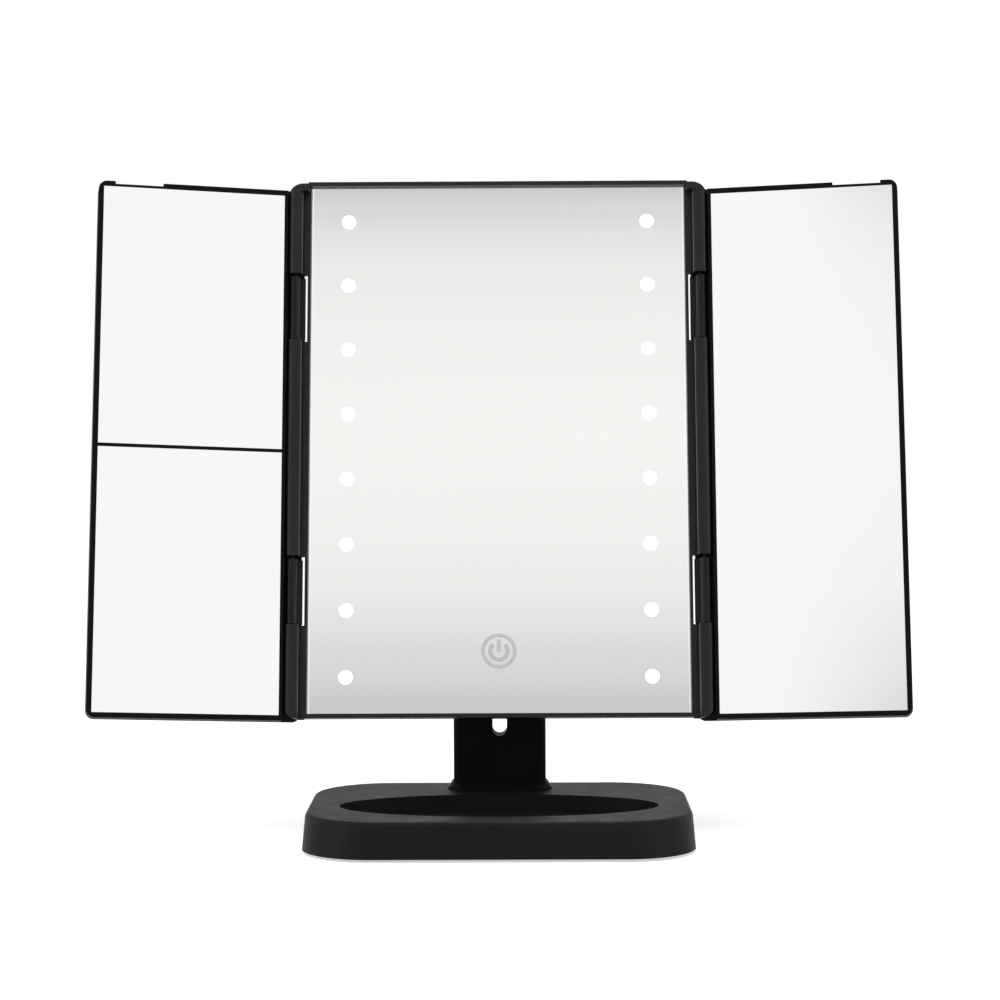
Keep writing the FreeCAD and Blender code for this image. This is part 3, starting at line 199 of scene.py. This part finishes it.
def matt_sheet(name, colour, second, roughness, crumbs, depth):
    """A matt material with a visible cell or crumb, so many to a metre, such as foam or rubber."""
    s = Shader(name)
    surface = s.surface(Specular_IOR_Level=0.3)
    crumb = s.noise(scale=crumbs, detail=4, roughness=0.6)
    s.join(s.blend(crumb, colour, second), surface["Base Color"])
    sheen = s.noise(scale=90, detail=3)
    s.join(s.span(sheen, low=roughness - 0.05, high=roughness + 0.05), surface["Roughness"])
    s.join(s.bump(crumb, distance=depth, strength=0.5), surface["Normal"])
    return s.material


LACQUER = (0.02, 0.12, 0.05)
LACQUER_ON_TRACKS = (0.06, 0.26, 0.12)


def solder_mask(name):
    """Green board lacquer over faint straight tracks."""
    s = Shader(name)
    surface = s.surface(Specular_IOR_Level=0.5)
    tracks = s.noise(scale=420, detail=1, roughness=0.3, stretch=(1, 1, 0.12))
    s.join(s.blend(tracks, LACQUER, LACQUER_ON_TRACKS), surface["Base Color"])
    s.join(s.span(s.noise(scale=60, detail=3), low=0.28, high=0.42), surface["Roughness"])
    s.join(s.bump(tracks, distance=0.03 * MM, strength=0.3), surface["Normal"])
    return s.material


FROST_DARK = (0.9, 0.9, 0.88)
FROST_PALE = (0.96, 0.96, 0.95)
GLOW_DIM = (0.98, 0.975, 0.95)
GLOW_FULL = (1.0, 1.0, 0.985)


def opal_light(name, strength):
    """A frosted window over a light, a little uneven in its fine grain."""
    s = Shader(name)
    surface = s.surface(Roughness=0.55, Emission_Strength=strength)
    frost = s.noise(scale=900, detail=2)
    s.join(s.blend(frost, FROST_DARK, FROST_PALE), surface["Base Color"])
    s.join(s.blend(frost, GLOW_DIM, GLOW_FULL), surface["Emission Color"])
    s.join(s.bump(frost, distance=0.01 * MM, strength=0.3), surface["Normal"])
    return s.material


def etched_mark(name, low, high):
    """Fine sandblasted line in the silvering, which blurs and dulls what it mirrors."""
    s = Shader(name)
    surface = s.surface(Metallic=1.0)
    blast = s.noise(scale=600, detail=2)
    s.join(s.blend(blast, low, high), surface["Base Color"])
    s.join(s.span(blast, low=0.27, high=0.33), surface["Roughness"])
    return s.material


SLEEVE_DARK = (0.32, 0.32, 0.34)
SLEEVE_PALE = (0.45, 0.45, 0.47)


def wrapped_cell(name):
    """A cell's plain sleeve."""
    s = Shader(name)
    surface = s.surface(Metallic=0.7, Roughness=0.35)
    s.join(s.blend(s.noise(scale=60, detail=2), SLEEVE_DARK, SLEEVE_PALE), surface["Base Color"])
    print_grain = s.noise(scale=500, detail=2)
    s.join(s.bump(print_grain, distance=0.01 * MM, strength=0.3), surface["Normal"])
    return s.material


BLACK = (0.005, 0.005, 0.0062)
# Below: BLACK made darker as painted shade, for the wings' rims and the divider, the neck and its collar.
SHADE_PAINTED_BLACK = (0.003, 0.003, 0.0035)
BASE_BLACK = (0.006, 0.0056, 0.0066)
# Below: near-black for the hinge pins, painted shade that keeps the gap above each knuckle dark.
PIN_SHADE_BLACK = (0.006, 0.006, 0.0065)

finishes = {
    "black_plastic": moulded_plastic("satin_black_plastic", BLACK, roughness=0.38, specular=0.25),
    "steel": plated_steel("zinc_plated_steel", (0.62, 0.62, 0.63), roughness=0.34),
    "plated_metal": plated_steel("nickel_plate", (0.72, 0.71, 0.68), roughness=0.22),
    "pad_rubber": matt_sheet(
        "soft_rubber",
        (0.012, 0.012, 0.012),
        (0.022, 0.022, 0.022),
        roughness=0.85,
        crumbs=900,
        depth=0.05 * MM,
    ),
    "washer_plastic": matt_sheet(
        "nylon", (0.7, 0.7, 0.67), (0.78, 0.78, 0.75), roughness=0.5, crumbs=300, depth=0.02 * MM
    ),
    "mirror": silvered_glass("silvered_glass", SILVER),
    "foam": matt_sheet(
        "foam_sheet", (0.6, 0.6, 0.57), (0.78, 0.78, 0.75), roughness=0.9, crumbs=1400, depth=0.15 * MM
    ),
    "diffuser": matt_sheet(
        "opal_acrylic", (0.86, 0.86, 0.85), (0.92, 0.92, 0.91), roughness=0.45, crumbs=200, depth=0.01 * MM
    ),
    "light": opal_light("light_chip", strength=0.2),
    "circuit_board": solder_mask("board_lacquer"),
    "battery": wrapped_cell("cell_sleeve"),
    "slider_plastic": matt_sheet(
        "grey_slider", (0.30, 0.30, 0.31), (0.36, 0.36, 0.37), roughness=0.5, crumbs=700, depth=0.03 * MM
    ),
}
# The wings' rims and the divider: the same black plastic as the rest, darkened as painted shade, and with
# little sheen.
wing_rim_shade_finish = moulded_plastic("wing_rim_shade_painted_plastic", SHADE_PAINTED_BLACK, roughness=0.5, specular=0.05)
wing_back_finish = moulded_plastic("wing_back_black_plastic", BLACK, roughness=0.45, specular=0.13)
own_finishes = {
    # The neck and its collar take the darkened black too, as painted shade.
    "neck_post": moulded_plastic("neck_black_plastic", SHADE_PAINTED_BLACK, roughness=0.5, specular=0.03),
    "neck_collar": moulded_plastic("collar_black_plastic", SHADE_PAINTED_BLACK, roughness=0.45, specular=0.05),
    "base_top_shell": moulded_plastic("base_black_plastic", BASE_BLACK, roughness=0.5, specular=0.075),
    "center_front_frame": moulded_plastic("frame_black_plastic", BLACK, roughness=0.38, specular=0.24),
    # The hinge pins are steel coloured near-black, as painted shade in the gap above each knuckle.
    "left_hinge_pin": plated_steel("shade_darkened_left_pin", PIN_SHADE_BLACK, roughness=0.45),
    "right_hinge_pin": plated_steel("shade_darkened_right_pin", PIN_SHADE_BLACK, roughness=0.45),
    "left_divider": wing_rim_shade_finish,
}
for wing in ("left", "right"):
    own_finishes[wing + "_wing_frame"] = wing_rim_shade_finish
    own_finishes[wing + "_wing_back"] = wing_back_finish
light_window_finish = opal_light("frosted_light_window", strength=0.75)
power_mark_finish = etched_mark("etched_power_mark", (0.60, 0.60, 0.59), (0.63, 0.63, 0.62))


def paint(obj, material):
    """Gives an object one finish."""
    obj.data.materials.clear()
    obj.data.materials.append(material)


def paint_cad_nodes():
    """Each CAD node takes its own finish, or else that of its material slot."""
    slots = {part["node"]: part["material_slot"] for part in frame["record"]["subparts"]}
    for name, node in frame["nodes"].items():
        paint(node, own_finishes.get(name) or finishes[slots[name]])


# ---------------------------------------------------------------------------------------------
# Meshes and Geometry Nodes trees


def mesh_from(bm, name):
    """A mesh of what bm holds; bm is freed."""
    mesh = bpy.data.meshes.new(name)
    bm.to_mesh(mesh)
    bm.free()
    return mesh


def new_piece(name, mesh):
    """An object in the scene that shows a mesh."""
    obj = bpy.data.objects.new(name, mesh)
    bpy.context.scene.collection.objects.link(obj)
    return obj


def settle(obj, place):
    """Puts an object's place into its mesh, and leaves the object at the origin."""
    obj.data.transform(place)
    obj.matrix_world = Matrix.Identity(4)
    obj.data.update()
    return obj


def start_tree(name, inputs):
    """An empty Geometry Nodes tree with named inputs and a geometry result."""
    tree = bpy.data.node_groups.new(name, "GeometryNodeTree")
    for label, kind in inputs.items():
        tree.interface.new_socket(name=label, in_out="INPUT", socket_type=kind)
    tree.interface.new_socket(name="Geometry", in_out="OUTPUT", socket_type="NodeSocketGeometry")
    return tree


def end_tree(tree, instances, material):
    """The end of a tree: its instances become one real, painted mesh."""
    add, join = tree.nodes.new, tree.links.new
    solid = add("GeometryNodeRealizeInstances")
    join(instances, solid.inputs["Geometry"])
    painted = add("GeometryNodeSetMaterial")
    painted.inputs["Material"].default_value = material
    join(solid.outputs["Geometry"], painted.inputs["Geometry"])
    join(painted.outputs["Geometry"], add("NodeGroupOutput").inputs["Geometry"])
    return tree


def grown(name, seed_mesh, tree, sizes):
    """A plain mesh piece that a tree makes from a seed and its sizes, set by their identifiers."""
    seed = new_piece("seed", seed_mesh)
    modifier = seed.modifiers.new("shape", "NODES")
    modifier.node_group = tree
    for item in tree.interface.items_tree:
        if item.item_type == "SOCKET" and item.in_out == "INPUT" and item.name in sizes:
            modifier[item.identifier] = sizes[item.name]
    bpy.context.view_layer.update()
    shape = seed.evaluated_get(bpy.context.evaluated_depsgraph_get())
    mesh = bpy.data.meshes.new_from_object(shape)
    bpy.data.objects.remove(seed)
    return new_piece(name, mesh)


# ---------------------------------------------------------------------------------------------
# Light windows

WINDOW_RADIUS = 3.0 * MM
WINDOW_HEIGHT = 0.06 * MM
WINDOW_STEPS = 48
WINDOW_TOP_SHARE = 0.96


def light_window_tree(material):
    """A column of low round windows, their tops a little smaller, one above another."""
    tree = start_tree(
        "light windows",
        {
            "Count": "NodeSocketInt",
            "Pitch": "NodeSocketFloat",
            "Radius": "NodeSocketFloat",
            "Height": "NodeSocketFloat",
        },
    )
    add, join = tree.nodes.new, tree.links.new
    given = add("NodeGroupInput").outputs
    step = add("ShaderNodeCombineXYZ")
    join(given["Pitch"], step.inputs["Z"])
    line = add("GeometryNodeMeshLine")
    join(given["Count"], line.inputs["Count"])
    join(step.outputs["Vector"], line.inputs["Offset"])
    disc = add("GeometryNodeMeshCircle")
    disc.fill_type = "NGON"
    disc.inputs["Vertices"].default_value = WINDOW_STEPS
    join(given["Radius"], disc.inputs["Radius"])
    raised = add("GeometryNodeExtrudeMesh")
    raised.inputs["Individual"].default_value = False
    join(disc.outputs["Mesh"], raised.inputs["Mesh"])
    join(given["Height"], raised.inputs["Offset Scale"])
    chamfer = add("GeometryNodeScaleElements")
    chamfer.inputs["Scale"].default_value = WINDOW_TOP_SHARE
    join(raised.outputs["Mesh"], chamfer.inputs["Geometry"])
    join(raised.outputs["Top"], chamfer.inputs["Selection"])
    turned = add("GeometryNodeTransform")
    turned.inputs["Rotation"].default_value = (math.radians(90), 0, 0)
    join(chamfer.outputs["Geometry"], turned.inputs["Geometry"])
    placed = add("GeometryNodeInstanceOnPoints")
    join(line.outputs["Mesh"], placed.inputs["Points"])
    join(turned.outputs["Geometry"], placed.inputs["Instance"])
    return end_tree(tree, placed.outputs["Instances"], material)


def make_light_windows():
    """Two columns of frosted windows on the middle glass, each over one light."""
    tree = light_window_tree(light_window_finish)
    lowest = LIGHT_SHIFT - LIGHT_PITCH * (LIGHT_COUNT - 1) / 2
    sizes = {"Count": LIGHT_COUNT, "Pitch": LIGHT_PITCH, "Radius": WINDOW_RADIUS, "Height": WINDOW_HEIGHT}
    for name, u in (("left_light_windows", -LIGHT_U), ("right_light_windows", LIGHT_U)):
        windows = grown(name, bpy.data.meshes.new("seed"), tree, sizes)
        settle(windows, HEAD_UPRIGHT @ Matrix.Translation((u, -ON_GLASS, lowest)))
        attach(windows, "head")


# ---------------------------------------------------------------------------------------------
# Power mark

RING_RADIUS = 7.4 * MM
RING_LINE = 1.6 * MM
ARC_RADIUS = 4.5 * MM
ARC_LINE = 1.8 * MM
ARC_OPEN = math.radians(40)
BAR_WIDTH = 1.9 * MM
BAR_LOW = -0.6 * MM
BAR_HIGH = 4.9 * MM
MARK_HEIGHT = 0.02 * MM
MARK_STEPS = 72


def ribbon(bm, outer, line, gap):
    """A flat ring inside a radius, open by a gap to each side of straight up, or closed if it is 0."""
    start, end = gap, math.tau - gap
    count = MARK_STEPS + 1 if gap else MARK_STEPS
    rows = []
    for number in range(count):
        angle = start + (end - start) * number / MARK_STEPS
        ray = Vector((math.sin(angle), math.cos(angle), 0))
        rows.append((bm.verts.new(ray * outer), bm.verts.new(ray * (outer - line))))
    for number in range(MARK_STEPS):
        a, b = rows[number], rows[(number + 1) % count]
        bm.faces.new((a[0], a[1], b[1], b[0]))


def make_power_mark():
    """The touch key's sign: a ring with the usual arc and bar, etched into the glass."""
    bm = bmesh.new()
    ribbon(bm, RING_RADIUS, RING_LINE, 0)
    ribbon(bm, ARC_RADIUS, ARC_LINE, ARC_OPEN)
    half = BAR_WIDTH / 2
    corners = ((-half, BAR_LOW), (half, BAR_LOW), (half, BAR_HIGH), (-half, BAR_HIGH))
    bm.faces.new([bm.verts.new((x, y, 0)) for x, y in corners])
    bmesh.ops.recalc_face_normals(bm, faces=bm.faces)
    raised = bmesh.ops.extrude_face_region(bm, geom=list(bm.faces))
    top = [item for item in raised["geom"] if isinstance(item, bmesh.types.BMVert)]
    bmesh.ops.translate(bm, verts=top, vec=(0, 0, MARK_HEIGHT))
    bmesh.ops.recalc_face_normals(bm, faces=bm.faces)
    mark = new_piece("power_mark", mesh_from(bm, "power_mark"))
    paint(mark, power_mark_finish)
    settle(mark, HEAD @ Matrix.Translation((0, MARK_V, ON_GLASS)))
    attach(mark, "head")


# ---------------------------------------------------------------------------------------------
# Middle glass

GLASS_HALF_WIDTH = 80 * MM
GLASS_HALF_HEIGHT = 113.7 * MM
GLASS_THICK = 3 * MM
GLASS_CORNER = 1 * MM
BEVEL_WIDTH = 1.4 * MM
BEVEL_SLOPE = math.tan(math.radians(2.0))
CORNER_STEPS = 4


def glass_outline():
    """The middle glass seen from the front, going round its four small corners."""
    outline = []
    for turn, (right, up) in enumerate(((1, 1), (-1, 1), (-1, -1), (1, -1))):
        middle = Vector((right * (GLASS_HALF_WIDTH - GLASS_CORNER), up * (GLASS_HALF_HEIGHT - GLASS_CORNER)))
        for step in range(CORNER_STEPS + 1):
            angle = math.radians(90) * (turn + step / CORNER_STEPS)
            outline.append(middle + GLASS_CORNER * Vector((math.cos(angle), math.sin(angle))))
    return outline


def make_middle_glass():
    """The middle glass with a narrow bevel ground along its two upright edges."""
    bm = bmesh.new()
    edge = GLASS_HALF_WIDTH - BEVEL_WIDTH
    outline = glass_outline()
    half = len(outline) // 2
    front = [bm.verts.new((u, v, -BEVEL_SLOPE * (abs(u) - edge))) for u, v in outline]
    back = [bm.verts.new((u, v, -GLASS_THICK)) for u, v in outline]
    quarter = CORNER_STEPS + 1
    ridge = {}
    for side in (-1, 1):
        for up in (-1, 1):
            ridge[side, up] = bm.verts.new((side * edge, up * GLASS_HALF_HEIGHT, 0))
    right = front[half + quarter :] + front[:quarter]
    left = front[quarter : half + quarter]
    bm.faces.new([ridge[1, -1], *right, ridge[1, 1]])
    bm.faces.new([ridge[-1, 1], *left, ridge[-1, -1]])
    bm.faces.new([ridge[1, 1], ridge[-1, 1], ridge[-1, -1], ridge[1, -1]])
    count = len(outline)
    for number in range(count):
        after = (number + 1) % count
        between = []
        if number == quarter - 1:
            between = [ridge[1, 1], ridge[-1, 1]]
        elif number == half + quarter - 1:
            between = [ridge[-1, -1], ridge[1, -1]]
        bm.faces.new([front[number], *between, front[after], back[after], back[number]])
    bm.faces.new(back)
    bmesh.ops.recalc_face_normals(bm, faces=bm.faces)
    glass = new_piece("bevelled_middle_glass", mesh_from(bm, "bevelled_middle_glass"))
    paint(glass, finishes["mirror"])
    settle(glass, HEAD)
    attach(glass, "head")
    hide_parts("center_mirror")


# ---------------------------------------------------------------------------------------------
# Screws at the head's back

SHANK_RADIUS = 1.25 * MM
TIP_RADIUS = SHANK_RADIUS * 0.5
RECESS_LONG = 1.5 * MM
RECESS_WIDE = 0.42 * MM
RECESS_DEEP = 0.8 * MM
DOME = 0.3 * MM
SCREW_STEPS = 24
SCREW_TURN = math.radians(35)
SCREW_COLUMNS = 2


def screw_loop(bm, radius, n):
    """A loop of points about the screw's line, at a place along it."""
    angles = [math.tau * number / SCREW_STEPS for number in range(SCREW_STEPS)]
    return [bm.verts.new((radius * math.cos(a), radius * math.sin(a), n)) for a in angles]


def recess_loop(bm, n):
    """The twelve corners of a cross-shaped recess."""
    a, b = RECESS_WIDE, RECESS_LONG
    quarter = ((b, -a), (b, a), (a, a))
    corners = []
    for c, s in ((1, 0), (0, 1), (-1, 0), (0, -1)):
        corners += [bm.verts.new((c * x - s * y, s * x + c * y, n)) for x, y in quarter]
    return corners


def wall_between(bm, first, second):
    """Faces between two loops of as many points."""
    count = len(first)
    for number in range(count):
        after = (number + 1) % count
        bm.faces.new((first[number], first[after], second[after], second[number]))


def edges_of(bm, loop):
    """The edges round a loop of points that has a wall."""
    return [bm.edges.get((loop[k], loop[k - 1])) for k in range(len(loop))]


def screw_mesh(head_radius, head_height, shank_length):
    """A pan-headed screw with a cross recess; its head faces -z and rests on z = 0."""
    bm = bmesh.new()
    tip = screw_loop(bm, TIP_RADIUS, shank_length)
    neck = screw_loop(bm, SHANK_RADIUS, shank_length - SHANK_RADIUS)
    root = screw_loop(bm, SHANK_RADIUS, 0)
    under = screw_loop(bm, head_radius, 0)
    rim = screw_loop(bm, head_radius, DOME - head_height)
    crown = screw_loop(bm, head_radius - DOME, -head_height)
    for first, second in ((tip, neck), (neck, root), (root, under), (under, rim), (rim, crown)):
        wall_between(bm, first, second)
    bm.faces.new(tip)
    mouth = recess_loop(bm, -head_height)
    floor = recess_loop(bm, RECESS_DEEP - head_height)
    wall_between(bm, mouth, floor)
    bm.faces.new(floor)
    bmesh.ops.triangle_fill(bm, use_beauty=True, edges=edges_of(bm, crown) + edges_of(bm, mouth))
    bmesh.ops.recalc_face_normals(bm, faces=bm.faces)
    return mesh_from(bm, "screw")


def screw_grid_tree(material):
    """The screw given to it at each point of a grid, every one turned further than the last."""
    tree = start_tree(
        "screw grid",
        {
            "Geometry": "NodeSocketGeometry",
            "Width": "NodeSocketFloat",
            "Height": "NodeSocketFloat",
            "Turn": "NodeSocketFloat",
            "Columns": "NodeSocketInt",
            "Rows": "NodeSocketInt",
        },
    )
    add, join = tree.nodes.new, tree.links.new
    given = add("NodeGroupInput").outputs
    grid = add("GeometryNodeMeshGrid")
    join(given["Width"], grid.inputs["Size X"])
    join(given["Height"], grid.inputs["Size Y"])
    join(given["Columns"], grid.inputs["Vertices X"])
    join(given["Rows"], grid.inputs["Vertices Y"])
    angle = add("ShaderNodeMath")
    angle.operation = "MULTIPLY"
    join(add("GeometryNodeInputIndex").outputs["Index"], angle.inputs[0])
    join(given["Turn"], angle.inputs[1])
    about = add("ShaderNodeCombineXYZ")
    join(angle.outputs[0], about.inputs["Z"])
    turned = add("FunctionNodeEulerToRotation")
    join(about.outputs["Vector"], turned.inputs[0])
    placed = add("GeometryNodeInstanceOnPoints")
    join(grid.outputs["Mesh"], placed.inputs["Points"])
    join(given["Geometry"], placed.inputs["Instance"])
    join(turned.outputs[0], placed.inputs["Rotation"])
    return end_tree(tree, placed.outputs["Instances"], material)


# In millimetres: one screw, the grid between the outermost screws of the set, and the grid's
# middle on the head, at the undersides of the screws' heads.
SCREW_SETS = {
    "housing_screws": {
        "head_radius": 2.6,
        "head_height": 1.5,
        "shank_length": 5.35,
        "grid_width": 132.0,
        "grid_height": 194.0,
        "rows": 3,
        "seat": (0, 0, -11.5),
    },
    "bracket_screws": {
        "head_radius": 2.4,
        "head_height": 1.5,
        "shank_length": 4.5,
        "grid_width": 24.0,
        "grid_height": 15.0,
        "rows": 2,
        "seat": (0, -95.0, -16.6),
    },
}


def make_screws():
    """The screws seen at the head's back, in its wells and in its bracket."""
    tree = screw_grid_tree(finishes["steel"])
    for node, given in SCREW_SETS.items():
        screw = screw_mesh(
            given["head_radius"] * MM, given["head_height"] * MM, given["shank_length"] * MM
        )
        sizes = {
            "Width": given["grid_width"] * MM,
            "Height": given["grid_height"] * MM,
            "Columns": SCREW_COLUMNS,
            "Rows": given["rows"],
            "Turn": SCREW_TURN,
        }
        screws = grown("cross_head_" + node, screw, tree, sizes)
        settle(screws, HEAD @ Matrix.Translation(Vector(given["seat"]) * MM))
        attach(screws, "head")
        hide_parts(node)


# ---------------------------------------------------------------------------------------------
# Studio


def seen(add, join):
    """1 for a ray that shows its background: the camera's own, a reflection's, or one through glass."""
    path = add("ShaderNodeLightPath").outputs
    shown = path["Is Camera Ray"]
    for kind in ("Is Glossy Ray", "Is Transmission Ray"):
        either = add("ShaderNodeMath")
        either.operation = "MAXIMUM"
        join(shown, either.inputs[0])
        join(path[kind], either.inputs[1])
        shown = either.outputs[0]
    return shown


AMBIENT = (0.62, 0.62, 0.63)


def make_world():
    """A white backdrop all round, which lights the object more softly than it shows."""
    world = bpy.data.worlds.new("studio")
    bpy.context.scene.world = world
    world.use_nodes = True
    tree = world.node_tree
    tree.nodes.clear()
    add, join = tree.nodes.new, tree.links.new
    mix = add("ShaderNodeMix")
    mix.data_type = "RGBA"
    join(seen(add, join), mix.inputs["Factor"])
    mix.inputs[MIX_FIRST].default_value = (*AMBIENT, 1)
    mix.inputs[MIX_SECOND].default_value = WHITE
    background = add("ShaderNodeBackground")
    join(mix.outputs[MIX_RESULT], background.inputs["Color"])
    join(background.outputs[0], add("ShaderNodeOutputWorld").inputs["Surface"])


CARD_AWAY = 5.0
CARD_HALF_WIDTH = 1.2
CARD_TOP = 4.2
CARD_PLAIN = 0.45
CARD_GONE = 1.15
CARD_TINT = (1, 0.993, 0.98)
# Heights on the card, and how bright it is at each.
CARD_TONES = (
    (1.40, 0.52),
    (1.70, 0.63),
    (1.84, 0.75),
    (1.93, 0.83),
    (2.03, 0.905),
    (2.20, 0.95),
    (2.42, 0.98),
    (2.70, 0.945),
    (2.88, 0.90),
    (2.98, 0.83),
    (3.06, 0.745),
    (3.14, 0.63),
    (3.60, 0.57),
)


def card_finish():
    """The card's own light: its tones by height, fading to white from CARD_PLAIN to CARD_GONE."""
    s = Shader("graded_card")
    place = s.add("ShaderNodeSeparateXYZ")
    s.join(s.object, place.inputs[0])
    ramp = s.add("ShaderNodeValToRGB")
    ramp.color_ramp.interpolation = "EASE"
    stops = ramp.color_ramp.elements
    while len(stops) < len(CARD_TONES):
        stops.new(0.5)
    for stop, (height, level) in zip(stops, CARD_TONES):
        stop.position = height / CARD_TOP
        stop.color = (*(level * share for share in CARD_TINT), 1)
    s.join(s.span(place.outputs["Z"], low=0, high=1, start=0, end=CARD_TOP), ramp.inputs["Fac"])
    aside = s.add("ShaderNodeMath", operation="ABSOLUTE")
    s.join(place.outputs["X"], aside.inputs[0])
    fade = s.add("ShaderNodeMapRange", interpolation_type="SMOOTHSTEP")
    s.join(aside.outputs[0], fade.inputs["Value"])
    fade.inputs["From Min"].default_value = CARD_PLAIN
    fade.inputs["From Max"].default_value = CARD_GONE
    tone = s.add("ShaderNodeMix", data_type="RGBA")
    s.join(fade.outputs["Result"], tone.inputs["Factor"])
    s.join(ramp.outputs["Color"], tone.inputs[MIX_FIRST])
    tone.inputs[MIX_SECOND].default_value = WHITE
    glow = s.add("ShaderNodeEmission")
    s.join(tone.outputs[MIX_RESULT], glow.inputs["Color"])
    s.join(glow.outputs[0], s.out.inputs["Surface"])
    return s.material


def make_card():
    """A tall card far behind the camera, brightest across its middle."""
    bm = bmesh.new()
    corners = ((-1, 0), (1, 0), (1, 1), (-1, 1))
    bm.faces.new([bm.verts.new((x * CARD_HALF_WIDTH, -CARD_AWAY, z * CARD_TOP)) for x, z in corners])
    bmesh.ops.recalc_face_normals(bm, faces=bm.faces)
    card = new_piece("grey_card", mesh_from(bm, "grey_card"))
    paint(card, card_finish())
    card.visible_camera = False


FLOOR_HALF_SIZE = 3.0
FLOOR_BELOW = 0.2 * MM
FLOOR_SEGMENTS = 8
FLOOR_GREY = (0.78, 0.78, 0.78)
FLOOR_PALE = (0.82, 0.82, 0.82)
FLOOR_GLOW = 0.55


def floor_finish():
    """Pale matt white, with a glow that shows but doesn't light the object."""
    s = Shader("white_table")
    diffuse = s.add("ShaderNodeBsdfDiffuse")
    s.join(s.blend(s.noise(scale=3, detail=2), FLOOR_GREY, FLOOR_PALE), diffuse.inputs["Color"])
    glow = s.add("ShaderNodeEmission")
    strength = s.add("ShaderNodeMath", operation="MULTIPLY")
    s.join(seen(s.add, s.join), strength.inputs[0])
    strength.inputs[1].default_value = FLOOR_GLOW
    s.join(strength.outputs[0], glow.inputs["Strength"])
    both = s.add("ShaderNodeAddShader")
    s.join(diffuse.outputs[0], both.inputs[0])
    s.join(glow.outputs[0], both.inputs[1])
    s.join(both.outputs[0], s.out.inputs["Surface"])
    return s.material


def make_floor():
    """A wide pale table that keeps the object's shadow."""
    bm = bmesh.new()
    bmesh.ops.create_grid(bm, x_segments=FLOOR_SEGMENTS, y_segments=FLOOR_SEGMENTS, size=FLOOR_HALF_SIZE)
    bmesh.ops.translate(bm, verts=bm.verts, vec=(0, 0, -FLOOR_BELOW))
    floor = new_piece("table_top", mesh_from(bm, "table_top"))
    paint(floor, floor_finish())


WARM = (1.0, 0.9, 0.8)
COOL = (0.9, 0.94, 1.0)
LAMPS_AIM = (0, 0, 0.12)


def make_lamp(name, place, width, height, watts, colour):
    """A soft rectangular lamp, not seen by the camera itself."""
    data = bpy.data.lights.new(name, "AREA")
    data.shape = "RECTANGLE"
    data.size = width
    data.size_y = height
    data.energy = watts
    data.color = colour
    lamp = bpy.data.objects.new(name, data)
    bpy.context.scene.collection.objects.link(lamp)
    lamp.location = place
    lamp.rotation_euler = (Vector(LAMPS_AIM) - Vector(place)).to_track_quat("-Z", "Y").to_euler()
    lamp.visible_camera = False


def make_lamps():
    """A large warm lamp above and a tall cool one to each side."""
    make_lamp("overhead_softbox", (0.0, -0.35, 1.5), width=1.2, height=0.9, watts=9, colour=WARM)
    make_lamp("left_strip", (-0.95, -0.5, 0.35), width=0.3, height=1.0, watts=5, colour=COOL)
    make_lamp("right_strip", (0.95, -0.5, 0.35), width=0.25, height=1.0, watts=4, colour=COOL)


# The lens's length is LENS_PIXELS of the frame's own pixels.
LENS_PIXELS = 2677.9
FRAME_PIXELS = 1000
SENSOR = 36.0
FAR_CLIP = 20
CAMERA_PLACE = Vector((9.4, -1092.8, 181.2)) * MM
CAMERA_DOWN = math.radians(2.206)
CAMERA_LEFT = math.radians(0.4485)
CAMERA_ROLL = math.radians(-0.255)


def make_camera():
    """A long lens a little above the mirror's middle."""
    data = bpy.data.cameras.new("camera")
    data.sensor_width = SENSOR
    data.lens = LENS_PIXELS / FRAME_PIXELS * SENSOR
    data.clip_end = FAR_CLIP
    camera = bpy.data.objects.new("camera", data)
    bpy.context.scene.collection.objects.link(camera)
    turn = (
        Matrix.Rotation(CAMERA_LEFT, 4, "Z")
        @ Matrix.Rotation(math.radians(90) - CAMERA_DOWN, 4, "X")
        @ Matrix.Rotation(CAMERA_ROLL, 4, "Z")
    )
    camera.matrix_world = Matrix.Translation(CAMERA_PLACE) @ turn
    bpy.context.scene.camera = camera


paint_cad_nodes()
make_light_windows()
make_power_mark()
make_middle_glass()
make_screws()
make_world()
make_card()
make_floor()
make_lamps()
make_camera()
bpy.context.scene.view_settings.view_transform = "Standard"
